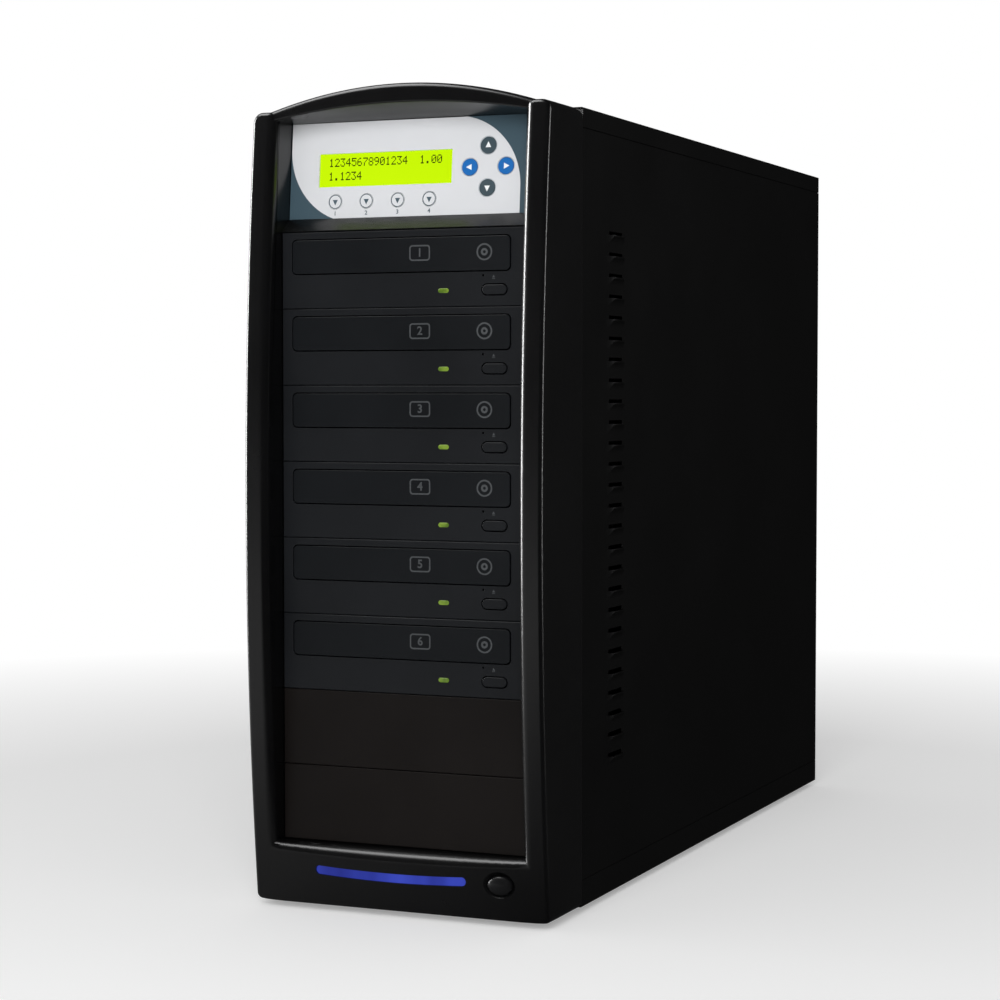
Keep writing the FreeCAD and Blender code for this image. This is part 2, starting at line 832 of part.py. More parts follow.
def drive_cases():
    """The six drive shells."""
    return Part.makeCompound([drive_case(number) for number in range(1, drive_count + 1)])


def base_pan():
    """The folded pan under the case."""
    outline = [(-half_case, pan_flange), (-half_case, 0), (half_case, 0), (half_case, pan_flange),
               (half_case - sheet, pan_flange), (half_case - sheet, sheet), (-half_case + sheet, sheet),
               (-half_case + sheet, pan_flange)]
    pan = drawn_y(outline, 0, case_depth)
    return pan.cut([Part.makeCylinder(foot_peg_radius + screw_clearance, sheet + overrun * 2, Vector(x, y, -overrun))
                    for x, y in foot_places()])


def top_cover():
    """The cover over the case, folded down along both sides."""
    low = case_height - cover_flange
    outline = [(-half_case, low), (-half_case, case_height), (half_case, case_height), (half_case, low),
               (half_case - sheet, low), (half_case - sheet, case_height - sheet),
               (-half_case + sheet, case_height - sheet), (-half_case + sheet, low)]
    return drawn_y(outline, 0, case_depth)


def louvre(rise, grow):
    """A stamped scoop that opens upwards, on the plane X = 0, or the space inside it."""
    top = overrun if grow else 0
    low, high = -louvre_height + grow, top
    hip = louvre_hip
    start, end = louvre_start + grow, louvre_start + louvre_length - grow
    crest = high - louvre_crest if not grow else high - louvre_crest - top
    wedge = Part.makeWedge(start, -sheet, low, crest, start + hip, end, louvre_rise - grow, high, high, end - hip)
    wedge.rotate(Vector(0, 0, 0), Vector(0, 0, 1), 90)
    wedge = wedge.mirror(Vector(0, 0, 0), Vector(1, 0, 0))
    wedge.translate(Vector(half_case, 0, louvre_top + rise))
    return wedge


def side_panel(side):
    """A side panel with a column of louvres and folded edges that slip behind its neighbours."""
    low, high = pan_flange + fold_gap, case_height - cover_flange - fold_gap
    outer, inner = half_case, half_case - sheet
    tucked = inner - slip_gap
    outline = [(outer, low), (outer, high), (tucked, high), (tucked, high + joggle), (tucked - sheet, high + joggle),
               (tucked - sheet, high - sheet), (inner, high - sheet), (inner, low + sheet),
               (tucked - sheet, low + sheet), (tucked - sheet, low - joggle), (tucked, low - joggle), (tucked, low)]
    panel = drawn_y(outline, 0, case_depth)
    flange = block(outer - rear_flange, outer, wall_back, case_depth, low, high)
    panel = joined([panel, flange] + [louvre(-index * louvre_pitch, 0) for index in range(louvre_count)])
    panel = panel.cut([louvre(-index * louvre_pitch, sheet) for index in range(louvre_count)])
    panel = panel.cut([rod(screw_hole_radius, x, z, wall_back - overrun, case_depth + overrun)
                       for x, z in side_screw_places() if x > 0])
    return panel if side > 0 else panel.mirror(Vector(0, 0, 0), Vector(1, 0, 0))


def side_screw_places():
    """Where the side panels are screwed to the rear panel."""
    x = half_case - rear_flange / 2
    low, high = pan_flange + side_screw_margin, case_height - cover_flange - side_screw_margin
    step = (high - low) / (side_screw_count - 1)
    return [(side * x, low + index * step) for side in (-1, 1) for index in range(side_screw_count)]


def corners(spread_x, spread_z, x, z):
    """Four places around a centre."""
    return [(x + side * spread_x / 2, z + rise * spread_z / 2) for side in (-1, 1) for rise in (-1, 1)]


def fan_screw_places():
    """The four corners where the exhaust fan is screwed on."""
    return corners(fan_hole_pitch, fan_hole_pitch, 0, fan_up)


def psu_screw_places():
    """The four screws that hold the power supply."""
    return corners(psu_width - psu_screw_margin * 2, psu_height - psu_screw_margin * 2, 0, psu_up + psu_height / 2)


def psu_fan_screw_places():
    """The four corners where the power supply's own fan is screwed on."""
    return corners(psu_fan_hole_pitch, psu_fan_hole_pitch, psu_fan_x, psu_up + psu_height / 2)


def screw_holes(places, y0, y1):
    """Clearance holes for screws along Y."""
    return [rod(screw_hole_radius, x, z, y0, y1) for x, z in places]


def grille_cuts(radius, x, z, y0, y1):
    """The straight slots of a stamped round grille, on both sides of an upright spine."""
    pitch = radius * 2 / grille_slots
    cuts = []
    for index in range(grille_slots):
        low = -radius + index * pitch + grille_bar / 2
        high = low + pitch - grille_bar
        far = math.sqrt(radius ** 2 - max(abs(low), abs(high)) ** 2)
        for side in (-1, 1):
            x0, x1 = sorted((side * grille_spine / 2, side * far))
            cuts.append(block(x + x0, x + x1, y0, y1, z + low, z + high))
    return cuts


def rear_panel():
    """The rear wall, with the fan's stamped grille and a window for the power supply."""
    plate = block(-frame_half, frame_half, wall_front, wall_back, sheet, case_height - sheet)
    flanges = []
    for side in (-1, 1):
        x0, x1 = sorted((side * frame_half, side * (frame_half - sheet)))
        flanges.append(block(x0, x1, wall_back - rear_flange, wall_back, sheet, case_height - sheet))
    panel = joined([plate] + flanges)
    half, margin = psu_width / 2 - psu_window_margin, psu_window_margin
    ends = (wall_front - overrun, wall_back + overrun)
    window = block(-half, half, *ends, psu_up + margin, psu_up + psu_height - margin)
    window = window.cut([rod(psu_tab_radius, x, z, *ends) for x, z in psu_screw_places()])
    holes = screw_holes(side_screw_places() + fan_screw_places() + psu_screw_places(), *ends)
    grille = grille_cuts(fan_bore_radius - grille_edge, 0, fan_up, *ends)
    return panel.cut([window] + holes + grille)


def front_frame():
    """The steel wall behind the bezel, open for the drives and the key panel's lead."""
    plate = block(-frame_half, frame_half, 0, sheet, sheet, case_height - sheet)
    half = cage_half + cage_wall - frame_overlap
    bays = block(-half, half, -overrun, sheet + overrun, bay_floor - frame_overlap, bays_top + frame_overlap)
    side = bay_width / 2 - lead_window_side
    lead = block(-side, side, -overrun, sheet + overrun, panel_foot_height, panel_foot_height + lead_window_height)
    return plate.cut([bays, lead])


def drive_cage():
    """The cage that carries the drives: two slotted walls standing on the pan, and a shelf."""
    back, middle = sheet + cage_depth, sheet + cage_depth / 2
    pieces = [block(-cage_half, cage_half, sheet, back, bay_floor - cage_wall, bay_floor)]
    for side in (-1, 1):
        x0, x1 = sorted((side * cage_half, side * (cage_half + cage_wall)))
        wall = block(x0, x1, sheet, back, sheet, bays_top)
        slots = []
        for bay in range(bay_count):
            low = bay_rise(bay) + (bay_pitch - cage_slot_height) / 2
            slots.append(block(x0 - overrun, x1 + overrun, middle - cage_slot_length / 2,
                               middle + cage_slot_length / 2, low, low + cage_slot_height))
        pieces.append(wall.cut(slots))
    return joined(pieces)


def psu_case():
    """The power supply's steel box, open for its fan, inlet and rocker switch."""
    half, back = psu_width / 2, wall_front
    box = block(-half, half, back - psu_depth, back, psu_up, psu_up + psu_height)
    room = block(-half + psu_wall, half - psu_wall, back - psu_depth + psu_wall, back - psu_wall, psu_up + psu_wall,
                 psu_up + psu_height - psu_wall)
    ends = (back - psu_wall - overrun, back + overrun)
    openings = [centred_box(inlet_x, psu_up + inlet_up, inlet_width, inlet_height, inlet_gap, *ends),
                centred_box(inlet_x, psu_up + rocker_up, rocker_width, rocker_height, inlet_gap, *ends)]
    holes = screw_holes(psu_screw_places() + psu_fan_screw_places(), *ends)
    grille = grille_cuts(psu_fan_bore_radius - grille_edge, psu_fan_x, psu_up + psu_height / 2, *ends)
    return box.cut([room] + openings + holes + grille)


def centred_box(x, z, width, height, grow, y0, y1):
    """A box along Y around a centre, grown on its four sides."""
    return block(x - width / 2 - grow, x + width / 2 + grow, y0, y1, z - height / 2 - grow, z + height / 2 + grow)


def power_inlet():
    """The mains inlet and its switch's well in one moulding, with three contact blades and a pivot pin."""
    back, face = wall_front, wall_front + inlet_flange_thickness
    z_inlet, z_rocker = psu_up + inlet_up, psu_up + rocker_up
    flange = inlet_width / 2 + inlet_flange
    collar = block(inlet_x - flange, inlet_x + flange, back, face, z_rocker - rocker_height / 2 - inlet_flange,
                   z_inlet + inlet_height / 2 + inlet_flange)
    shell = joined([collar, centred_box(inlet_x, z_inlet, inlet_width, inlet_height, 0, back - inlet_body_depth, face),
                    centred_box(inlet_x, z_rocker, rocker_width, rocker_height, 0, back - rocker_body_depth, face)])
    half, floor = inlet_socket_width / 2, face - inlet_socket_depth
    low, high = z_inlet - inlet_socket_height / 2, z_inlet + inlet_socket_height / 2
    notch = inlet_socket_height / 4
    outline = [(inlet_x - half, low), (inlet_x + half, low), (inlet_x + half, high - notch),
               (inlet_x + half - notch, high), (inlet_x - half + notch, high), (inlet_x - half, high - notch)]
    socket = drawn_y(outline, floor, face + overrun)
    well = centred_box(inlet_x, z_rocker, rocker_width, rocker_height, -rocker_frame,
                       back - rocker_body_depth + rocker_frame, face + overrun)
    pieces = [shell.cut([socket, well])]
    for side in (-1, 0, 1):
        drop = -blade_contact_drop if side else blade_contact_drop
        pieces.append(centred_box(inlet_x + side * blade_contact_spread, z_inlet + drop, blade_contact_width,
                                  blade_contact_height, 0, floor - sheet, floor + blade_contact_length))
    pieces.append(Part.makeCylinder(rocker_pin_radius, rocker_height - rocker_frame,
                                    Vector(inlet_x, back - rocker_pivot_depth,
                                           z_rocker - (rocker_height - rocker_frame) / 2)))
    return joined(pieces)


def power_rocker():
    """The rocker: a shallow V that turns on the well's upright pin."""
    half = rocker_width / 2 - rocker_frame - rocker_end_gap
    tall = rocker_height / 2 - rocker_frame - rocker_side_gap
    crest = half * math.tan(math.radians(rocker_tilt))
    boss = rocker_pin_radius + rocker_boss
    low = rocker_pin_radius + rocker_boss - rocker_thickness
    outline = [(-half, boss + crest), (0, boss), (half, boss + crest), (half - crest, low), (boss, low),
               (boss, -boss), (-boss, -boss), (-boss, low), (-half + crest, low)]
    rocker = drawn_z(outline, -tall, tall)
    rocker = rocker.cut(Part.makeCylinder(rocker_pin_radius + pin_clearance, rocker_height * 2,
                                          Vector(0, 0, -rocker_height)))
    rocker.rotate(Vector(0, 0, 0), Vector(0, 0, 1), -rocker_tilt)
    rocker.translate(Vector(inlet_x, wall_front - rocker_pivot_depth, psu_up + rocker_up))
    return rocker


def fan_frame(size, thickness, bore, hub, places, x, z, back):
    """A fan's square frame, with the spider that carries its axle."""
    front = back - thickness
    ends = (front - overrun, back + overrun)
    frame = centred_box(x, z, size, size, 0, front, back)
    frame = frame.cut([rod(bore, x, z, *ends)] + screw_holes(places, *ends))
    pieces = [frame, rod(hub, x, z, front, front + spoke_thickness),
              rod(shaft_radius, x, z, front, back - rotor_gap - hub_cap - rotor_gap)]
    for turn in (45, 135):
        spoke = centred_box(0, 0, bore * 2, spoke_width, spoke_root, front, front + spoke_thickness)
        spoke.rotate(Vector(0, 0, 0), Vector(0, 1, 0), turn)
        spoke.translate(Vector(x, 0, z))
        pieces.append(spoke)
    return joined(pieces)


def fan_frames():
    """The exhaust fan's frame on the rear wall and the smaller one inside the power supply."""
    return Part.makeCompound([
        fan_frame(fan_size, fan_thickness, fan_bore_radius, fan_hub_radius, fan_screw_places(), 0, fan_up, wall_front),
        fan_frame(psu_fan_size, psu_fan_thickness, psu_fan_bore_radius, psu_fan_hub_radius, psu_fan_screw_places(),
                  psu_fan_x, psu_up + psu_height / 2, wall_front - psu_wall)])


def fan_rotor(thickness, bore, hub_radius, x, z, frame_back):
    """A fan's wheel: a hub bored for its axle and pitched blades around it."""
    front, back = frame_back - thickness + spoke_thickness + rotor_gap, frame_back - rotor_gap
    turned = math.radians(blade_pitch_angle)
    chord = (back - front - rotor_gap * 2 - blade_thickness * math.sin(turned)) / math.cos(turned)
    swing = chord / 2 * math.sin(turned) + blade_thickness
    tip = math.sqrt((bore - fan_tip_gap) ** 2 - swing ** 2)
    hub = rod(hub_radius, x, z, front, back)
    pieces = [hub.makeChamfer(hub_cap / 2, [edge for edge in hub.Edges if edge.BoundBox.YMin > back - rotor_gap])]
    for index in range(fan_blade_count):
        blade = block(hub_radius - blade_root_overlap, tip, -blade_thickness / 2, blade_thickness / 2, -chord / 2,
                      chord / 2)
        blade.rotate(Vector(0, 0, 0), Vector(1, 0, 0), 90 - blade_pitch_angle)
        blade.rotate(Vector(0, 0, 0), Vector(0, 1, 0), 360 * index / fan_blade_count)
        blade.translate(Vector(x, (front + back) / 2, z))
        pieces.append(blade)
    return joined(pieces).cut(rod(shaft_radius + shaft_clearance, x, z, front - overrun, back - hub_cap))


def copy_controller():
    """The board that runs the copies, on four posts from the right side panel."""
    inner = half_case - sheet
    x1 = inner - controller_post
    x0 = x1 - controller_thickness
    board = block(x0, x1, controller_back, controller_back + controller_depth, controller_up,
                  controller_up + controller_height)
    chip = block(x0 - chip_height, x0, controller_back + chip_size, controller_back + chip_size * 2,
                 controller_up + controller_height / 2, controller_up + controller_height / 2 + chip_size)
    posts = []
    inset = controller_post
    for y in (controller_back + inset, controller_back + controller_depth - inset):
        for z in (controller_up + inset, controller_up + controller_height - inset):
            posts.append(block(x0, inner, y - controller_post_half, y + controller_post_half,
                               z - controller_post_half, z + controller_post_half))
    return joined([board, chip] + posts)


def foot_places():
    """The four places under the pan where the feet are pegged in."""
    x = half_case - foot_inset
    return [(side * x, y) for side in (-1, 1) for y in (foot_set_back, case_depth - foot_set_back)]


def feet():
    """Four rubber feet, each a short cone with a peg through the pan."""
    pads = []
    for x, y in foot_places():
        pad = Part.makeCone(foot_radius_low, foot_radius_high, foot_height, Vector(x, y, -foot_height))
        peg = Part.makeCylinder(foot_peg_radius, foot_peg_length + foot_height / 2, Vector(x, y, -foot_height / 2))
        pads.append(joined([pad, peg]))
    return Part.makeCompound(pads)


def six_sided(radius, x, z, y0, y1):
    """A six-sided bar along Y."""
    corner = [(x + radius * math.cos(math.radians(60 * turn)), z + radius * math.sin(math.radians(60 * turn)))
              for turn in range(6)]
    return drawn_y(corner, y0, y1)


def screw(x, z, seat):
    """A screw at the rear, its six-sided head against the seat."""
    return joined([six_sided(screw_head_radius, x, z, seat, seat + screw_head_height),
                   six_sided(screw_shank_radius, x, z, seat - screw_shank_length, seat + screw_head_height / 2)])


def screws():
    """All the screws on the rear of the case."""
    heads = [screw(x, z, case_depth) for x, z in side_screw_places()]
    heads += [screw(x, z, wall_back) for x, z in fan_screw_places() + psu_screw_places()]
    heads += [screw(x, z, wall_front) for x, z in psu_fan_screw_places()]
    return Part.makeCompound(heads)


def place(shape):
    """Moves a piece from the seam's frame to the frame at the tower's bottom centre."""
    placed = shape.copy()
    front, back = -bezel_reach - bezel_bow, case_depth + screw_head_height
    placed.translate(Vector(0, -(front + back) / 2, foot_height))
    return placed


def build():
    """Every piece by name."""
    pieces = {"front_bezel": front_bezel(), "light_bar": light_bar(), "power_button": power_button(),
              "power_switch": power_switch(), "control_panel": control_panel(), "lcd_window": lcd_window(),
              "lcd_module": lcd_module(), "control_board": control_board(), "drive_lamps": drive_lamps(),
              "drive_cases": drive_cases(), "base_pan": base_pan(), "top_cover": top_cover(),
              "left_panel": side_panel(-1), "right_panel": side_panel(1), "rear_panel": rear_panel(),
              "front_frame": front_frame(), "drive_cage": drive_cage(), "psu_case": psu_case(),
              "power_inlet": power_inlet(), "power_rocker": power_rocker(), "fan_frames": fan_frames(),
              "copy_controller": copy_controller(), "feet": feet(), "screws": screws()}
    pieces["exhaust_fan_rotor"] = fan_rotor(fan_thickness, fan_bore_radius, fan_hub_radius, 0, fan_up, wall_front)
    pieces["psu_fan_rotor"] = fan_rotor(psu_fan_thickness, psu_fan_bore_radius, psu_fan_hub_radius, psu_fan_x,
                                        psu_up + psu_height / 2, wall_front - psu_wall)
    for name, x, up, radius in key_places():
        pieces[name] = key(x, up, radius)
    for number in range(1, drive_count + 1):
        pieces[f"drive_{number}_fascia"] = drive_fascia(number)
        pieces[f"drive_{number}_tray"] = drive_tray(number)
        pieces[f"drive_{number}_door"] = drive_door(number)
        pieces[f"drive_{number}_button"] = eject_button(number)
    for bay in range(blank_count):
        pieces[f"blank_cover_{blank_count - bay}"] = blank_cover(bay)
    return pieces


os.makedirs("parts", exist_ok=True)
for node, shape in build().items():
    place(shape).exportStep(f"parts/{node}.step")
    print(node, "valid" if shape.isValid() else "NOT VALID", len(shape.Solids))
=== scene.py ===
"""Looks for the disc duplicator tower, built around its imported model.

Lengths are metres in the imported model's frame: +Z up, the front faces -Y and the feet stand on Z = 0.
The bezel, the key panel, the drives and the case are drawn in millimetres from the case's front lower
edge, and settle() brings them into that frame.
"""
import json
import logging
import math
from dataclasses import dataclass, field
from enum import Enum
from typing import Callable, Iterable, Sequence

import bpy
from mathutils import Matrix, Vector


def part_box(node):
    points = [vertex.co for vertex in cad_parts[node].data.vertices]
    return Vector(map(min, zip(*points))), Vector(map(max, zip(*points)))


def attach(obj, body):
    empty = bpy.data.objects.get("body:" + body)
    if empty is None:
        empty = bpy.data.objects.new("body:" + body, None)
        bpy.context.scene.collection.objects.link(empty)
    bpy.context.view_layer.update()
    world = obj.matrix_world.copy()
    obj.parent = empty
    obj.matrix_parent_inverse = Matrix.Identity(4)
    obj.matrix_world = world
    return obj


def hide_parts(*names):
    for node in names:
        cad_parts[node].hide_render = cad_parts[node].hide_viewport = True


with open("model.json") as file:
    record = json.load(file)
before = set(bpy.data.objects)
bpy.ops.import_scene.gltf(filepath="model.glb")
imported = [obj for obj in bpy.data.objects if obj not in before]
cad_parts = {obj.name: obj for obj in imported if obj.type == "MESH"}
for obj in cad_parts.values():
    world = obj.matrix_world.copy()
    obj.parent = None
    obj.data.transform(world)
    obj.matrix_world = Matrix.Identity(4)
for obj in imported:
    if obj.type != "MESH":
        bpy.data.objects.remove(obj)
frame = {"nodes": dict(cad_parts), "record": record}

logging.basicConfig(level=logging.INFO, format="%(message)s")
log = logging.getLogger("tower")

MM = 0.001
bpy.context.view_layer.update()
FRONT_SHIFT = -210.65
FOOT_HEIGHT = 4.0
TILT = 4.9
PANEL_FOOT = (-33.0, 380.4)
TEXTURE_DEPTH = 0.00003
PRINT_DEPTH = 0.03

Pair = tuple[float, float]
Point = tuple[float, float, float]
Colour = tuple[float, float, float]
Piece = bpy.types.Object
Node = bpy.types.Node
Socket = bpy.types.NodeSocket


def at(x: float, y: float, z: float) -> Vector:
    """A point given in millimetres from the case's front lower edge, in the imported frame."""
    return Vector((x, y + FRONT_SHIFT, z + FOOT_HEIGHT)) * MM


# Hand work


class Cut(Enum):
    """How one solid works on another."""

    AWAY = "DIFFERENCE"
    TOGETHER = "UNION"


def only(*pieces: Piece) -> None:
    """Selects these objects and nothing else.

    Args:
        pieces: The objects to select; the first becomes the active one.
    """
    if bpy.context.mode != "OBJECT":
        bpy.ops.object.mode_set(mode="OBJECT")
    bpy.ops.object.select_all(action="DESELECT")
    for piece in pieces:
        piece.hide_set(False)
        piece.select_set(True)
    bpy.context.view_layer.objects.active = pieces[0]


def freeze(piece: Piece) -> Piece:
    """Moves an object's place, turn and size into its mesh.

    Args:
        piece: The object.

    Returns:
        The same object, at the origin.
    """
    only(piece)
    bpy.ops.object.transform_apply(location=True, rotation=True, scale=True)
    return piece


class Bench:
    """A piece in edit mode, with its parts picked by place or direction."""

    def __init__(self, piece: Piece) -> None:
        """Keeps the piece for later."""
        self.piece = piece

    def __enter__(self) -> "Bench":
        """Puts the piece in edit mode with nothing selected."""
        only(self.piece)
        bpy.ops.object.mode_set(mode="EDIT")
        bpy.ops.mesh.select_mode(type="VERT")
        bpy.ops.mesh.select_all(action="DESELECT")
        return self

    def __exit__(self, *_: object) -> None:
        """Goes back to object mode."""
        bpy.ops.object.mode_set(mode="OBJECT")

    def _pick(self, kind: str, test: Callable[[bpy.types.bpy_struct], bool]) -> int:
        """Selects the parts of one kind that pass a test.

        Args:
            kind: Blender's name for vertices, edges or faces.
            test: Says whether a part is wanted.

        Returns:
            The number of parts selected.
        """
        bpy.ops.mesh.select_mode(type=kind)
        bpy.ops.mesh.select_all(action="DESELECT")
        bpy.ops.object.mode_set(mode="OBJECT")
        mesh = self.piece.data
        parts = {"VERT": mesh.vertices, "EDGE": mesh.edges, "FACE": mesh.polygons}[kind]
        chosen = [part for part in parts if test(part)]
        for part in chosen:
            part.select = True
        bpy.ops.object.mode_set(mode="EDIT")
        return len(chosen)

    def points(self, test: Callable[[Vector], bool]) -> int:
        """Selects the vertices whose place passes a test."""
        return self._pick("VERT", lambda part: test(part.co))

    def edges(self, test: Callable[[Vector, Vector], bool]) -> int:
        """Selects the edges whose two ends pass a test."""
        points = self.piece.data.vertices
        return self._pick("EDGE", lambda part: test(*[points[end].co for end in part.vertices]))

    def faces(self, test: Callable[[Vector, Vector], bool]) -> int:
        """Selects the faces whose centre and normal pass a test."""
        return self._pick("FACE", lambda part: test(part.center, part.normal))

    def everything(self) -> None:
        """Selects the whole piece."""
        bpy.ops.mesh.select_all(action="SELECT")

    def slice(self, place: Point, normal: Point) -> None:
        """Draws an edge loop where a plane crosses the whole piece."""
        self.everything()
        bpy.ops.mesh.bisect(plane_co=place, plane_no=normal)

    def places(self) -> list[Vector]:
        """The places of all vertices as they are now."""
        self.points(lambda co: False)
        return [point.co.copy() for point in self.piece.data.vertices]


def block(name: str, low: Sequence[float], high: Sequence[float]) -> Piece:
    """Adds a box between two corners.

    Args:
        name: The piece's name.
        low: Its lowest corner.
        high: Its highest corner.

    Returns:
        The new object, at the origin.
    """
    low, high = Vector(low), Vector(high)
    bpy.ops.mesh.primitive_cube_add(size=1, location=(low + high) / 2, scale=high - low)
    piece = bpy.context.object
    piece.name = name
    return freeze(piece)


def drum(name: str, radius: float, front: Vector, depth: float, sides: int = 48) -> Piece:
    """Adds a round bar along +Y.

    Args:
        name: The piece's name.
        radius: Its radius.
        front: The centre of its front.
        depth: Its length.
        sides: The number of its sides.

    Returns:
        The new object, at the origin.
    """
    middle = front + Vector((0, depth / 2, 0))
    bpy.ops.mesh.primitive_cylinder_add(vertices=sides, radius=radius, depth=depth, location=middle,
                                        rotation=(math.pi / 2, 0, 0))
    piece = bpy.context.object
    piece.name = name
    return freeze(piece)


def pill(name: str, centre: Vector, width: float, height: float, depth: float, sides: int) -> Piece:
    """Adds a bar along +Y with round ends, from a cylinder pulled apart.

    Args:
        name: The piece's name.
        centre: The centre of its front.
        width: Its whole width.
        height: Its height.
        depth: Its length along +Y.
        sides: The number of sides of the cylinder.

    Returns:
        The new object, at the origin.
    """
    off_middle = 1e-7
    piece = drum(name, height / 2, centre, depth, sides)
    with Bench(piece) as bench:
        for side in (-1, 1):
            bench.points(lambda co: (co.x - centre.x) * side > off_middle)
            bpy.ops.transform.translate(value=(side * (width - height) / 2, 0, 0))
    return piece


def shade(piece: Piece, angle: float) -> None:
    """Shades a piece smooth except at edges sharper than an angle in degrees."""
    only(piece)
    bpy.ops.object.shade_smooth_by_angle(angle=math.radians(angle))


def weigh_normals(piece: Piece, weight: int = 60) -> None:
    """Lets large faces lead the shading of the roundings beside them.

    Args:
        piece: The piece.
        weight: How much a face's size counts.
    """
    only(piece)
    weigh = piece.modifiers.new("weigh", "WEIGHTED_NORMAL")
    weigh.keep_sharp = True
    weigh.weight = weight
    bpy.ops.object.modifier_apply(modifier="weigh")


def soften(piece: Piece, width: float, steps: int = 3, angle: float = 35.0) -> Piece:
    """Rounds a piece's sharp edges and shades the rest smooth.

    Args:
        piece: The piece.
        width: The rounding's width.
        steps: The number of its steps.
        angle: The angle in degrees above which an edge is sharp.

    Returns:
        The same piece.
    """
    only(piece)
    rounding = piece.modifiers.new("rounding", "BEVEL")
    rounding.width = width
    rounding.segments = steps
    rounding.limit_method = "ANGLE"
    rounding.angle_limit = math.radians(angle)
    bpy.ops.object.modifier_apply(modifier="rounding")
    shade(piece, angle)
    weigh_normals(piece)
    return piece


def settle(piece: Piece) -> Piece:
    """Brings a piece drawn in millimetres from the case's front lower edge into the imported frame.

    Args:
        piece: A piece at the origin.

    Returns:
        The same piece, in metres and in place.
    """
    piece.location = Vector((0, FRONT_SHIFT, FOOT_HEIGHT)) * MM
    piece.scale = (MM, MM, MM)
    return freeze(piece)


def carve(body: Piece, tool: Piece, how: Cut = Cut.AWAY) -> None:
    """Cuts one solid with another, or joins them, and takes the tool away.

    Args:
        body: The solid that stays.
        tool: The solid that cuts or is joined.
        how: Whether it cuts or is joined.
    """
    only(body)
    cut = body.modifiers.new("cut", "BOOLEAN")
    cut.object = tool
    cut.operation = how.value
    cut.solver = "EXACT"
    bpy.ops.object.modifier_apply(modifier="cut")
    bpy.data.objects.remove(tool, do_unlink=True)


def merged_copy(node: str, name: str) -> Piece:
    """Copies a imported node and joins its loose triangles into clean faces.

    Args:
        node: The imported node.
        name: The copy's name.

    Returns:
        The copy, which isn't riding on anything yet.
    """
    same_place, same_plane = 2e-6, 0.3
    source = frame["nodes"][node]
    piece = bpy.data.objects.new(name, source.data.copy())
    bpy.context.scene.collection.objects.link(piece)
    piece.data.materials.clear()
    with Bench(piece) as bench:
        bench.everything()
        bpy.ops.mesh.remove_doubles(threshold=same_place)
        bpy.ops.mesh.dissolve_limited(angle_limit=math.radians(same_plane))
    return piece


def refined(node: str, width: float) -> Piece:
    """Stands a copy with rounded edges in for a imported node.

    Args:
        node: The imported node.
        width: The rounding's width in metres.

    Returns:
        The new piece, riding on the node's body.
    """
    piece = soften(merged_copy(node, f"{node}_finished"), width, 2)
    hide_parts(node)
    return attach(piece, body_of(node))


def body_of(node: str) -> str:
    """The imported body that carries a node."""
    bodies = frame["record"]["behaviour"]["bodies"]
    return next(body for body, nodes in bodies.items() if node in nodes)


def join(pieces: Sequence[Piece], name: str) -> Piece:
    """Joins several objects, with their materials, into one piece.

    Args:
        pieces: The objects; the first one stays.
        name: The joined piece's name.

    Returns:
        The joined piece.
    """
    only(*pieces)
    if len(pieces) > 1:
        bpy.ops.object.join()
    pieces[0].name = name
    return pieces[0]


def copied(piece: Piece, name: str, shift: Vector) -> Piece:
    """Copies a piece with its own mesh, moved by a step.

    Args:
        piece: The piece to copy.
        name: The copy's name.
        shift: The step.

    Returns:
        The copy, which isn't riding on anything yet.
    """
    twin = piece.copy()
    twin.data = piece.data.copy()
    twin.name = name
    twin.parent = None
    twin.matrix_world = Matrix.Identity(4)
    twin.data.transform(Matrix.Translation(shift))
    for key in [key for key in twin.keys() if key.startswith("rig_")]:
        del twin[key]
    bpy.context.scene.collection.objects.link(twin)
    return twin


# Node trees


